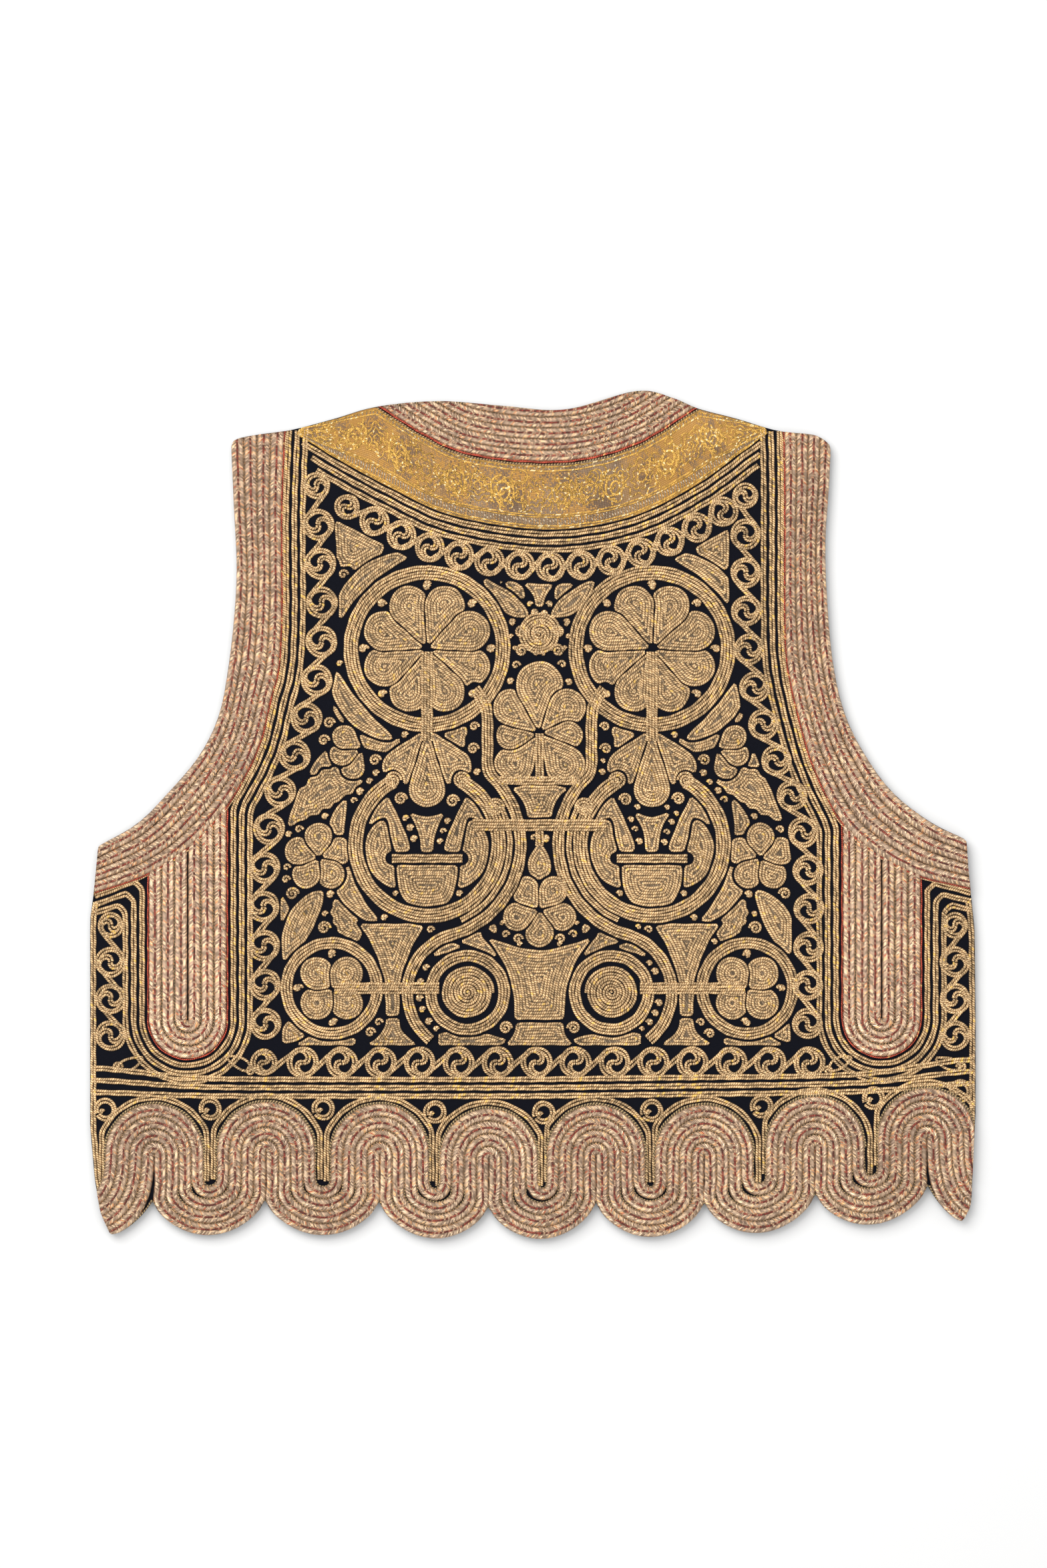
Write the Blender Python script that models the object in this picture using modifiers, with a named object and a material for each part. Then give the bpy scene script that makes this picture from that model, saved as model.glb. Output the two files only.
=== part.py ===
"""Embroidered waistcoat laid flat with its back up: dark wool panels, brocade yoke, plaited bands."""

import math

import bmesh
import bpy
import numpy as np

MM = 0.001

# Cloth walls and the gaps between laid pieces
FRONT_WALL = 2.0
BACK_WALL = 2.0
BROCADE_WALL = 1.2
BRAID_WALL = 1.8
CORD_WALL = 1.2
SEAM_GAP = 0.3
LAID_GAP = 0.6

# The back domes over the fronts and rolls down to them along every edge
EDGE_DROP = 1.6
ROLL_WIDTH = 20.0
BACK_EDGE_TOP = FRONT_WALL + SEAM_GAP + BACK_WALL
BACK_TOP = BACK_EDGE_TOP + EDGE_DROP
TRIM_Z = BACK_TOP + LAID_GAP

# Grid counts
HEM_STEPS_PER_SCALLOP = 6
PART_SCALLOP_STEPS = 3
PANEL_ROWS = (0.0, 0.015, 0.035, 0.08, 0.18, 0.29, 0.38, 0.43, 0.47, 0.52, 0.58, 0.66, 0.78, 0.9, 0.97, 1.0)
FRONT_COLUMNS = 3
FRONT_ROWS = 18
BAND_STEPS = 22
BAND_COLUMNS = 3
SMOOTHING_STEPS = 8

# Edges of the cut, in millimetres from the middle of the back, listed upward or left to right
LEFT_SIDE = (
    (-228.0, -226.5), (-233.5, -214.5), (-236.5, -196.5), (-239.0, -168.0), (-239.0, -110.0),
    (-239.0, -56.0), (-237.0, -42.0), (-234.5, -16.5),
)
RIGHT_SIDE = (
    (232.0, -219.5), (236.5, -211.0), (239.0, -160.0), (239.0, -112.0), (238.5, -62.0),
    (235.0, -28.5), (234.0, -13.0),
)
LEFT_ARMHOLE = (
    (-234.5, -16.5), (-213.5, -4.5), (-197.0, 12.0), (-180.5, 31.5), (-170.0, 52.5), (-165.0, 76.0),
    (-161.5, 105.0), (-160.0, 133.5), (-161.5, 166.5), (-163.0, 200.0),
)
RIGHT_ARMHOLE = (
    (234.0, -13.0), (215.0, -4.0), (193.5, 13.0), (177.5, 35.5), (168.0, 56.0), (162.5, 79.5),
    (159.5, 107.5), (158.0, 144.0), (160.0, 178.0), (161.0, 199.0),
)
SHOULDER_AND_NECK = (
    (-163.0, 200.0), (-160.0, 203.0), (-147.5, 205.5), (-130.0, 208.0), (-107.0, 214.0), (-84.0, 220.5),
    (-50.5, 223.5), (-16.5, 221.0), (17.5, 219.0), (56.0, 229.0), (76.0, 225.0), (89.0, 219.5),
    (110.0, 214.0), (132.0, 207.5), (152.5, 205.0), (161.0, 199.0),
)
LEFT_BAND_INNER = (
    (-237.0, -42.0), (-210.5, -33.0), (-188.0, -19.5), (-168.5, 0.0), (-156.0, 19.5), (-147.0, 39.0),
    (-141.5, 61.5), (-137.0, 79.5), (-135.5, 106.5), (-135.5, 133.5), (-135.5, 166.5), (-131.5, 207.0),
)
RIGHT_BAND_INNER = (
    (236.0, -39.5), (207.5, -32.5), (184.0, -20.0), (166.5, -4.0), (152.5, 23.0), (144.5, 48.0),
    (137.5, 79.5), (136.0, 107.5), (136.0, 147.0), (136.0, 180.0), (133.5, 206.0),
)
NECK_BAND_LOWER = (
    (-84.0, 220.5), (-60.5, 205.5), (-38.0, 195.0), (-5.0, 190.0), (26.5, 191.0), (58.0, 200.5), (89.0, 219.5),
)
YOKE_LOWER = (
    (-130.0, 207.0), (-105.5, 192.0), (-75.0, 175.5), (-45.5, 162.0), (-5.0, 154.5), (26.5, 155.0),
    (58.0, 162.5), (89.0, 178.5), (113.0, 196.0), (131.0, 207.0),
)

# Scalloped hem: the notch points and the depth each scallop hangs below its notches
HEM_NOTCHES = (
    (-205.0, -208.5), (-144.5, -207.5), (-83.0, -208.5), (-24.0, -211.0), (34.0, -209.0),
    (92.5, -209.0), (152.5, -204.5), (213.0, -200.0),
)
SCALLOP_DEPTH = 19.0
SCALLOP_FULLNESS = 0.62
PART_SCALLOP_DEPTH = 4.0
MEANDER_PEAK = -151.5
MEANDER_VALLEY = -193.0
MEANDER_FULLNESS = 0.6
HEM_BAND_SIDE_INSET = 1.0

# Shares of each edge that a band covers, from its first end to its last
ARMHOLE_BAND_REACH = (0.004, 0.992)
NECK_BAND_REACH = (0.05, 0.95)
YOKE_REACH = (0.03, 0.97)

# Fronts, hidden under the back
FRONT_INSET = 2.2
CENTRE_GAP = 0.5
FRONT_HEM = -205.0
FRONT_NECK_LOW = 30.0
FRONT_NECK_HALF = 84.0
FRONT_SHOULDER_RISE = 8.0
FRONT_NECK_FLARE = 1.6
SIDE_SLIVER = 1.6

# Tongues: x of the middle, half width, the slanting top at the outer and inner side, and the lowest point
TONGUES = (
    ("tongue_left", -186.0, 20.0, -36.5, -7.5, -128.0),
    ("tongue_right", 188.0, 20.0, -9.5, -36.0, -127.0),
)

# The couched field is the same on both sides of this line
MIDDLE_X = 3.6

# Couched cord rings of the left side: name, middle x and y, outer and inner radius
RINGS = (
    ("ring_upper", -57.0, 89.6, 44.3, 36.0),
    ("ring_middle", -57.0, -15.8, 42.5, 36.0),
    ("ring_side", -108.4, -93.4, 27.7, 21.6),
    ("ring_lower", -35.2, -95.8, 23.0, 17.0),
)
RING_STEPS = 30

# Couched rosettes of the left side: name, middle x and y, mean radius, lobes, depth of the lobes
ROSETTES = (
    ("rosette_upper", -57.0, 89.6, 30.5, 8, 0.13),
    ("rosette_side", -108.4, -93.4, 17.0, 4, 0.14),
    ("disc_lower", -35.2, -95.8, 14.0, 1, 0.0),
)
CENTRE_ROSETTE = ("rosette_centre", MIDDLE_X, 46.0, 25.0, 7, 0.13)
ROSETTE_STEPS_PER_LOBE = 6
DISC_STEPS = 24

# Couched bar and vases on the middle line: name, then a row for each height with its half width
SECTIONS = (
    ("bar_centre", ((-9.4, 15.5), (-2.5, 15.5))),
    ("vase_centre", ((-1.5, 8.0), (16.0, 20.0))),
    ("vase_lower", ((-125.0, 20.0), (-112.0, 12.5), (-96.0, 13.5), (-80.0, 16.0), (-68.0, 27.0))),
)

# Surface colours, roughness and metallic share
WOOL = ((0.012, 0.014, 0.022, 1.0), 0.92, 0.0)
WOOL_FRONT = ((0.020, 0.015, 0.020, 1.0), 0.92, 0.0)
BROCADE = ((0.42, 0.28, 0.14, 1.0), 0.50, 0.25)
PLAIT = ((0.40, 0.27, 0.19, 1.0), 0.48, 0.30)
CORD = ((0.50, 0.34, 0.17, 1.0), 0.50, 0.30)


def clear_scene():
    for item in list(bpy.data.objects):
        bpy.data.objects.remove(item, do_unlink=True)


def smooth_curve(points, steps=SMOOTHING_STEPS):
    """Curve through the points with steps points to a span."""
    p = np.array(points, dtype=float)
    padded = np.vstack([2 * p[0] - p[1], p, 2 * p[-1] - p[-2]])
    t = np.linspace(0.0, 1.0, steps, endpoint=False)[:, None]
    spans = []
    for a, b, c, d in zip(padded[:-3], padded[1:-2], padded[2:-1], padded[3:]):
        linear = (c - a) * t
        square = (2 * a - 5 * b + 4 * c - d) * t ** 2
        cube = (3 * b - a - 3 * c + d) * t ** 3
        spans.append(b + 0.5 * (linear + square + cube))
    return np.vstack(spans + [p[-1:]])


def arc_lengths(curve):
    steps = np.linalg.norm(np.diff(curve, axis=0), axis=1)
    return np.concatenate([[0.0], np.cumsum(steps)])


def along(curve, shares):
    """Points at the given shares of the curve's length."""
    lengths = arc_lengths(curve)
    at = np.asarray(shares) * lengths[-1]
    return np.column_stack([np.interp(at, lengths, curve[:, k]) for k in (0, 1)])


def hem_spans():
    """End points of each scallop, with the part scallops at the two sides."""
    stops = [LEFT_SIDE[0]] + list(HEM_NOTCHES) + [RIGHT_SIDE[0]]
    return list(zip(stops[:-1], stops[1:]))


def scallop(start, end, depth, count):
    """Arc hanging below the line between two notches."""
    t = np.arange(count) / count
    sag = depth * np.sin(np.pi * t) ** SCALLOP_FULLNESS
    x = start[0] + (end[0] - start[0]) * t
    y = start[1] + (end[1] - start[1]) * t - sag
    return np.column_stack([x, y])


def hem_curve():
    spans = hem_spans()
    parts = [scallop(*spans[0], PART_SCALLOP_DEPTH, PART_SCALLOP_STEPS)]
    for start, end in spans[1:-1]:
        parts.append(scallop(start, end, SCALLOP_DEPTH, HEM_STEPS_PER_SCALLOP))
    parts.append(scallop(*spans[-1], PART_SCALLOP_DEPTH, PART_SCALLOP_STEPS))
    return np.vstack(parts + [np.array([RIGHT_SIDE[0]])])


def meander_curve(hem):
    """Upper line of the hem band over each hem point: arches over the notches, valleys between."""
    peaks = np.array([notch[0] for notch in HEM_NOTCHES])
    pitch = float(np.mean(np.diff(peaks)))
    stops = np.concatenate([[peaks[0] - pitch], peaks, [peaks[-1] + pitch]])
    phase = np.interp(hem[:, 0], stops, np.arange(len(stops)))
    lift = np.abs(np.cos(np.pi * phase)) ** MEANDER_FULLNESS
    return np.column_stack([hem[:, 0], MEANDER_VALLEY + (MEANDER_PEAK - MEANDER_VALLEY) * lift])


def side_curve(side, armhole):
    return np.vstack([np.array(side), smooth_curve(armhole)[1:]])


def panel_outline():
    """Closed outline of the back, anticlockwise from the left end of the hem."""
    hem = hem_curve()
    right = side_curve(RIGHT_SIDE, RIGHT_ARMHOLE)
    top = smooth_curve(SHOULDER_AND_NECK)[::-1]
    left = side_curve(LEFT_SIDE, LEFT_ARMHOLE)[::-1]
    return np.vstack([hem[:-1], right[:-1], top[:-1], left[:-1]])


def distance_to_outline(points, outline):
    start = outline
    step = np.roll(outline, -1, axis=0) - outline
    offset = points[:, None, :] - start[None]
    share = (offset * step).sum(-1) / np.maximum((step ** 2).sum(-1), 1e-12)
    near = start[None] + np.clip(share, 0.0, 1.0)[..., None] * step[None]
    return np.linalg.norm(points[:, None, :] - near, axis=-1).min(axis=1)


def surface_height(points, outline, lift=0.0):
    """Height of the back's upper face, moved out by lift."""
    inside = np.clip(distance_to_outline(points, outline) / ROLL_WIDTH, 0.0, 1.0)
    roll = 0.5 - 0.5 * np.cos(np.pi * inside)
    return BACK_EDGE_TOP + EDGE_DROP * roll + lift


def coons_grid(bottom, top, left, right, rows):
    """Grid of points filling four edges; bottom and top run left to right, the sides upward."""
    u = np.linspace(0.0, 1.0, len(bottom))[None, :, None]
    v = np.array(rows)[:, None, None]
    sides = (1 - u) * left[:, None] + u * right[:, None]
    ends = (1 - v) * bottom[None] + v * top[None]
    low = (1 - u) * bottom[0] + u * bottom[-1]
    high = (1 - u) * top[0] + u * top[-1]
    return sides + ends - (1 - v) * low - v * high


def ruled_grid(lower, upper, columns):
    share = np.linspace(0.0, 1.0, columns + 1)[:, None, None]
    return (1 - share) * lower[None] + share * upper[None]


def flatten(grid, height):
    """Grid of plan points with one height for all."""
    return np.dstack([grid, np.full(grid.shape[:2], height)])


def drape(grid, outline, lift):
    flat = grid.reshape(-1, 2)
    heights = surface_height(flat, outline, lift).reshape(grid.shape[:2])
    return np.dstack([grid, heights])


def make_material(name, look):
    colour, roughness, metallic = look
    material = bpy.data.materials.new(name)
    material.use_nodes = True
    shader = material.node_tree.nodes["Principled BSDF"]
    shader.inputs["Base Color"].default_value = colour
    shader.inputs["Roughness"].default_value = roughness
    shader.inputs["Metallic"].default_value = metallic
    material.diffuse_color = colour
    return material


def add_cloth(name, vertices, faces, wall, material, collection):
    """Sheet facing up, given its wall downward."""
    mesh = bpy.data.meshes.new(name)
    mesh.from_pydata([tuple(v) for v in vertices], [], faces)
    work = bmesh.new()
    work.from_mesh(mesh)
    for face in work.faces:
        face.normal_update()
    if sum(face.normal.z for face in work.faces) < 0:
        bmesh.ops.reverse_faces(work, faces=work.faces)
    work.to_mesh(mesh)
    work.free()
    mesh.materials.append(material)
    item = bpy.data.objects.new(name, mesh)
    collection.objects.link(item)
    solid = item.modifiers.new("wall", "SOLIDIFY")
    solid.thickness = wall * MM
    solid.offset = -1.0
    return item


def add_grid(name, grid, wall, material, collection, closed=False):
    rows, columns = grid.shape[:2]
    faces = []
    last = columns if closed else columns - 1
    for i in range(rows - 1):
        for j in range(last):
            after = (j + 1) % columns
            faces.append((i * columns + j, i * columns + after, (i + 1) * columns + after, (i + 1) * columns + j))
    return add_cloth(name, grid.reshape(-1, 3) * MM, faces, wall, material, collection)


def add_plate(name, outline, height, wall, material, collection):
    vertices = np.column_stack([outline, np.full(len(outline), height)]) * MM
    return add_cloth(name, vertices, [tuple(range(len(outline)))], wall, material, collection)


def build_back(outline, material, collection):
    hem = hem_curve()
    shares = np.linspace(0.0, 1.0, len(hem))
    top = along(smooth_curve(SHOULDER_AND_NECK), shares)
    left = along(side_curve(LEFT_SIDE, LEFT_ARMHOLE), PANEL_ROWS)
    right = along(side_curve(RIGHT_SIDE, RIGHT_ARMHOLE), PANEL_ROWS)
    grid = coons_grid(hem, top, left, right, PANEL_ROWS)
    add_grid("back_panel", drape(grid, outline, 0.0), BACK_WALL, material, collection)


def inset(curve, distance, side):
    """Curve moved sideways toward the middle of the garment."""
    step = np.gradient(curve, axis=0)
    normal = np.column_stack([step[:, 1], -step[:, 0]])
    normal /= np.linalg.norm(normal, axis=1)[:, None]
    return curve + normal * distance * side


def front_edges(side_sign, side, armhole, sliver):
    """Outer, inner, lower and upper edge of one front."""
    outer = along(side_curve(side, armhole), np.linspace(0.0, 1.0, FRONT_ROWS + 1))
    low = np.clip((outer[:, 1] - FRONT_HEM) / (armhole[0][1] - FRONT_HEM), 0.0, 1.0)
    outer = inset(outer, FRONT_INSET, -side_sign)
    outer[:, 0] += side_sign * sliver * np.sin(np.pi * low) ** 2 * (low < 1.0)
    outer[0] = (outer[0][0], FRONT_HEM)
    outer[1:, 1] = np.maximum(outer[1:, 1], FRONT_HEM + np.arange(1, FRONT_ROWS + 1))
    outer[-1, 1] -= FRONT_INSET
    t = np.linspace(0.0, 1.0, FRONT_ROWS + 1)
    height = FRONT_HEM + (outer[-1, 1] + FRONT_SHOULDER_RISE - FRONT_HEM) * t
    flare = np.clip((height - FRONT_NECK_LOW) / (height[-1] - FRONT_NECK_LOW), 0.0, 1.0) ** FRONT_NECK_FLARE
    inner = np.column_stack([side_sign * (CENTRE_GAP + (FRONT_NECK_HALF - CENTRE_GAP) * flare), height])
    across = np.linspace(0.0, 1.0, FRONT_COLUMNS + 1)[:, None]
    lower = outer[0] * (1 - across) + inner[0] * across
    upper = outer[-1] * (1 - across) + inner[-1] * across
    return outer, inner, lower, upper


def build_front(name, side_sign, side, armhole, sliver, material, collection):
    outer, inner, lower, upper = front_edges(side_sign, side, armhole, sliver)
    rows = np.linspace(0.0, 1.0, FRONT_ROWS + 1)
    grid = coons_grid(lower, upper, outer, inner, rows)
    add_grid(name, flatten(grid, FRONT_WALL), FRONT_WALL, material, collection)


def build_armhole_band(name, outer_points, inner_points, side_sign, outline, material, collection):
    shares = np.linspace(*ARMHOLE_BAND_REACH, BAND_STEPS + 1)
    outer = inset(along(smooth_curve(outer_points), shares), SEAM_GAP, -side_sign)
    inner = inset(along(smooth_curve(inner_points), shares), SEAM_GAP, side_sign)
    grid = ruled_grid(outer, inner, BAND_COLUMNS)
    lift = LAID_GAP + BRAID_WALL
    add_grid(name, drape(grid, outline, lift), BRAID_WALL, material, collection)


def neck_edge(first, last):
    """The shoulder and neck edge between two x positions."""
    curve = smooth_curve(SHOULDER_AND_NECK)
    keep = (curve[:, 0] > first) & (curve[:, 0] < last)
    return curve[keep]


def build_neck_band(outline, material, collection):
    start, end = NECK_BAND_LOWER[0][0], NECK_BAND_LOWER[-1][0]
    shares = np.linspace(*NECK_BAND_REACH, BAND_STEPS + 1)
    upper = along(neck_edge(start, end), shares) - (0.0, SEAM_GAP)
    lower = along(smooth_curve(NECK_BAND_LOWER), shares) + (0.0, SEAM_GAP)
    grid = ruled_grid(lower, upper, BAND_COLUMNS)
    add_grid("neck_band", drape(grid, outline, LAID_GAP + BRAID_WALL), BRAID_WALL, material, collection)


def build_yoke(outline, material, collection):
    start, end = YOKE_LOWER[0][0], YOKE_LOWER[-1][0]
    neck_start, neck_end = NECK_BAND_LOWER[0][0], NECK_BAND_LOWER[-1][0]
    upper = np.vstack([
        neck_edge(start, neck_start), smooth_curve(NECK_BAND_LOWER), neck_edge(neck_end, end),
    ])
    shares = np.linspace(*YOKE_REACH, BAND_STEPS + 1)
    upper = along(upper, shares) - (0.0, SEAM_GAP)
    lower = along(smooth_curve(YOKE_LOWER), shares)
    grid = ruled_grid(lower, upper, BAND_COLUMNS)
    lift = LAID_GAP + BROCADE_WALL
    add_grid("yoke_brocade", drape(grid, outline, lift), BROCADE_WALL, material, collection)


def build_hem_band(outline, material, collection):
    hem = hem_curve()
    upper = meander_curve(hem)
    lower = hem + (0.0, SEAM_GAP)
    lower[0] += (HEM_BAND_SIDE_INSET, 0.0)
    lower[-1] -= (HEM_BAND_SIDE_INSET, 0.0)
    grid = ruled_grid(lower, upper, BAND_COLUMNS)
    lift = LAID_GAP + BRAID_WALL
    add_grid("hem_band", drape(grid, outline, lift), BRAID_WALL, material, collection)


def build_tongue(row, outline, material, collection):
    name, middle, half, top_left, top_right, bottom = row
    turn = np.linspace(math.pi, 0.0, 2 * SMOOTHING_STEPS + 1)
    x = middle + half * np.cos(turn)
    lower = np.column_stack([x, bottom + half - half * np.sin(turn)])
    upper = np.column_stack([x, np.interp(x, (middle - half, middle + half), (top_left, top_right))])
    grid = ruled_grid(lower, upper, BAND_COLUMNS)
    lift = LAID_GAP + BRAID_WALL
    add_grid(name, drape(grid, outline, lift), BRAID_WALL, material, collection)


def circle(middle, radius, steps):
    turn = np.arange(steps) * 2 * math.pi / steps
    return np.column_stack([middle[0] + radius * np.cos(turn), middle[1] + radius * np.sin(turn)])


def build_ring(name, x, y, outer, inner, material, collection):
    grid = np.stack([circle((x, y), outer, RING_STEPS), circle((x, y), inner, RING_STEPS)])
    add_grid(name, flatten(grid, TRIM_Z + CORD_WALL), CORD_WALL, material, collection, closed=True)


def build_rosette(name, x, y, radius, lobes, depth, material, collection):
    steps = max(DISC_STEPS, lobes * ROSETTE_STEPS_PER_LOBE)
    turn = np.arange(steps) * 2 * math.pi / steps
    reach = radius * (1 + depth * np.sin(lobes * turn))
    outline = np.column_stack([x + reach * np.cos(turn), y + reach * np.sin(turn)])
    add_plate(name, outline, TRIM_Z + CORD_WALL, CORD_WALL, material, collection)


def build_sections(name, rows, material, collection):
    """Plate that is symmetric about the middle line, from the height and half width of each row."""
    height, half = np.array(rows).T
    right = np.column_stack([MIDDLE_X + half, height])
    left = np.column_stack([MIDDLE_X - half, height])[::-1]
    add_plate(name, np.vstack([right, left]), TRIM_Z + CORD_WALL, CORD_WALL, material, collection)


def build_couching(material, collection):
    for side, turn_over in (("left", 1.0), ("right", -1.0)):
        for name, x, *sizes in RINGS:
            place = MIDDLE_X + turn_over * (x - MIDDLE_X)
            build_ring(f"{name}_{side}", place, *sizes, material, collection)
        for name, x, *sizes in ROSETTES:
            place = MIDDLE_X + turn_over * (x - MIDDLE_X)
            build_rosette(f"{name}_{side}", place, *sizes, material, collection)
    build_rosette(*CENTRE_ROSETTE, material, collection)
    for name, rows in SECTIONS:
        build_sections(name, rows, material, collection)


def build():
    clear_scene()
    collection = bpy.data.collections.new("embroidered_waistcoat")
    bpy.context.scene.collection.children.link(collection)
    wool = make_material("wool_felt", WOOL)
    wool_front = make_material("wool_front", WOOL_FRONT)
    brocade = make_material("brocade", BROCADE)
    plait = make_material("plait", PLAIT)
    cord = make_material("couched_cord", CORD)
    outline = panel_outline()
    build_back(outline, wool, collection)
    build_front("front_left", -1, LEFT_SIDE, LEFT_ARMHOLE, SIDE_SLIVER, wool_front, collection)
    build_front("front_right", 1, RIGHT_SIDE, RIGHT_ARMHOLE, 0.0, wool_front, collection)
    build_yoke(outline, brocade, collection)
    build_neck_band(outline, plait, collection)
    build_armhole_band("armhole_band_left", LEFT_ARMHOLE, LEFT_BAND_INNER, -1, outline, plait, collection)
    build_armhole_band("armhole_band_right", RIGHT_ARMHOLE, RIGHT_BAND_INNER, 1, outline, plait, collection)
    build_hem_band(outline, plait, collection)
    for row in TONGUES:
        build_tongue(row, outline, plait, collection)
    build_couching(cord, collection)


build()
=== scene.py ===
"""Embroidered waistcoat laid flat, back up: felt panels, plaited bands, couched cord, brocade yoke."""

import math

import bpy
import numpy as np
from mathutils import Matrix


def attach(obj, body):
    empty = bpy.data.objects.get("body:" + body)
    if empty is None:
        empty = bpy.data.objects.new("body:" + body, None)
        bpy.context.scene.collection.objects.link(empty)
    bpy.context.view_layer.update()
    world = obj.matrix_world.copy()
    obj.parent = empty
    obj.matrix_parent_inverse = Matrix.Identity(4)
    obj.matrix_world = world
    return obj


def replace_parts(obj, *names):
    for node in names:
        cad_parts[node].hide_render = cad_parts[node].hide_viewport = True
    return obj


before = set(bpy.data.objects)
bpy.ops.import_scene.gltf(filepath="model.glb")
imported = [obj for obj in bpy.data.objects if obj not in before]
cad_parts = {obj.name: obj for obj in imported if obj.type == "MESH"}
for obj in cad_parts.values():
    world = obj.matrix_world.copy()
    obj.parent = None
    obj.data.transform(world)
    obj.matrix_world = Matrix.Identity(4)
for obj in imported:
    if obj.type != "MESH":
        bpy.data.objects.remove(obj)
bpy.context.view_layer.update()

MM = 0.001
RNG = np.random.default_rng(7)

# ---------------------------------------------------------------- cloth and thread sizes, mm
WALL = 2.0
# Height of the back's upper face at its cut edge, its rise to the flat, and the width of that roll
EDGE_TOP = 4.3
EDGE_DROP = 1.6
ROLL_WIDTH = 20.0
RIPPLE = 0.30
CORD = 1.62
CORD_HEIGHT = 1.15
BRAID_HEIGHT = 1.9
STRAND_PITCH = 0.82
LINE_PITCH = 4.5
KEEP_CLEAR = 5.0
WOBBLE = 0.14
WOBBLE_LENGTH = 2.4
FIRST_RING = 0.82
HEM_BAND = 26.6
SCALLOP_WIDTH = 60.0
ARCH_RISE = 25.5
VALLEY_RISE = 12.0
ARCH_LINE_RADIUS = 30.6
ARCH_LINE_DROP = 14.4
CURL_RISE, CURL_REACH, CURL_RADIUS = 37.6, 230.5, 4.9
END_BULGE = 8.0
YOKE_RUN = 290.0
YOKE_RISE = 31.0
YOKE_WIDTH = 32.0
YOKE_ROWS = 16
MIRROR_X = 3.6
FRONT_ROWS = 61
FRONT_HEM = -205.0
FRONT_INSET = 2.2
FRONT_NECK_FOOT = 30.0
FRONT_NECK_HALF = 83.5
FRONT_CENTRE_GAP = 0.5
BACK_ROWS = 110
ARMHOLE_BRAIDS = 4
NECK_BRAIDS = 5
NECK_BRAID = 6.0
HEM_BRAIDS = 4
TONGUE_BRAID = 6.8
TONGUE_HALVES = (17.6, 10.6, 3.6)
TONGUE_RIM = 21.4
TONGUE_LINES = 24.6
TONGUE_SEAM = 3.45
LEFT_TONGUE = (-186.0, -128.0)
RIGHT_TONGUE = (188.0, -127.0)
SIDE_LINES_TOP, SIDE_LINES_FOOT = -46.0, -206.0

# ---------------------------------------------------------------- the cut, mm
LEFT_SIDE = [
    (-228.0, -226.5), (-233.5, -214.5), (-236.5, -196.5), (-239.0, -168.0), (-239.0, -110.0),
    (-239.0, -56.0), (-237.0, -42.0), (-234.5, -16.5),
]
RIGHT_SIDE = [
    (232.0, -219.5), (236.5, -211.0), (239.0, -160.0), (239.0, -112.0), (238.5, -62.0),
    (235.0, -28.5), (234.0, -13.0),
]
LEFT_ARMHOLE = [
    (-234.5, -16.5), (-213.5, -4.5), (-197.0, 12.0), (-180.5, 31.5), (-170.0, 52.5), (-165.0, 76.0),
    (-161.5, 105.0), (-160.0, 133.5), (-161.5, 166.5), (-163.0, 200.0),
]
RIGHT_ARMHOLE = [
    (234.0, -13.0), (215.0, -4.0), (193.5, 13.0), (177.5, 35.5), (168.0, 56.0), (162.5, 79.5),
    (159.5, 107.5), (158.0, 144.0), (160.0, 178.0), (161.0, 199.0),
]
TOP_EDGE = [
    (-163.0, 200.0), (-160.0, 203.0), (-147.5, 205.5), (-130.0, 208.0), (-107.0, 214.0), (-84.0, 220.5),
    (-50.5, 223.5), (-16.5, 221.0), (17.5, 219.0), (56.0, 229.0), (76.0, 225.0), (89.0, 219.5),
    (110.0, 214.0), (132.0, 207.5), (152.5, 205.0), (161.0, 199.0),
]
LEFT_BAND_INNER = [
    (-237.0, -42.0), (-210.5, -33.0), (-188.0, -19.5), (-168.5, 0.0), (-156.0, 19.5), (-147.0, 39.0),
    (-141.5, 61.5), (-137.0, 79.5), (-135.5, 106.5), (-135.5, 133.5), (-135.5, 166.5), (-134.0, 206.5),
]
RIGHT_BAND_INNER = [
    (236.0, -39.5), (207.5, -32.5), (184.0, -20.0), (166.5, -4.0), (152.5, 23.0), (144.5, 48.0),
    (137.5, 79.5), (136.0, 107.5), (136.0, 147.0), (136.0, 180.0), (135.5, 206.0),
]
NECK_LOWER = [
    (-84.0, 220.5), (-60.5, 205.5), (-38.0, 195.0), (-5.0, 190.0), (26.5, 191.0), (58.0, 200.5),
    (89.0, 219.5),
]
YOKE_LOWER = [
    (-130.0, 207.5), (-105.5, 192.0), (-75.0, 175.5), (-45.5, 162.0), (-5.0, 154.5), (26.5, 155.0),
    (58.0, 162.5), (89.0, 178.5), (113.0, 196.0), (129.0, 208.0),
]
NOTCHES = [
    (-205.0, -208.5), (-144.5, -207.5), (-83.0, -208.5), (-24.0, -211.0), (34.0, -209.0),
    (92.5, -209.0), (152.5, -204.5), (213.0, -200.0),
]
SCALLOP_DEPTH = 19.0


# ---------------------------------------------------------------- plane curves
def spread(count):
    """Even shares from 0 to 1."""
    return np.linspace(0.0, 1.0, count)


def smooth(points, steps=10):
    """Smooth curve through points, steps places to a span."""
    p = np.array(points, dtype=float)
    padded = np.vstack([2 * p[0] - p[1], p, 2 * p[-1] - p[-2]])
    t = np.linspace(0.0, 1.0, steps, endpoint=False)[:, None]
    spans = []
    for a, b, c, d in zip(padded[:-3], padded[1:-2], padded[2:-1], padded[3:]):
        linear = (c - a) * t
        square = (2 * a - 5 * b + 4 * c - d) * t ** 2
        cube = (3 * b - a - 3 * c + d) * t ** 3
        spans.append(b + 0.5 * (linear + square + cube))
    return np.vstack(spans + [p[-1:]])


def lengths(path):
    """Length of a path up to each of its points."""
    return np.concatenate([[0.0], np.cumsum(np.linalg.norm(np.diff(path, axis=0), axis=1))])


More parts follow.
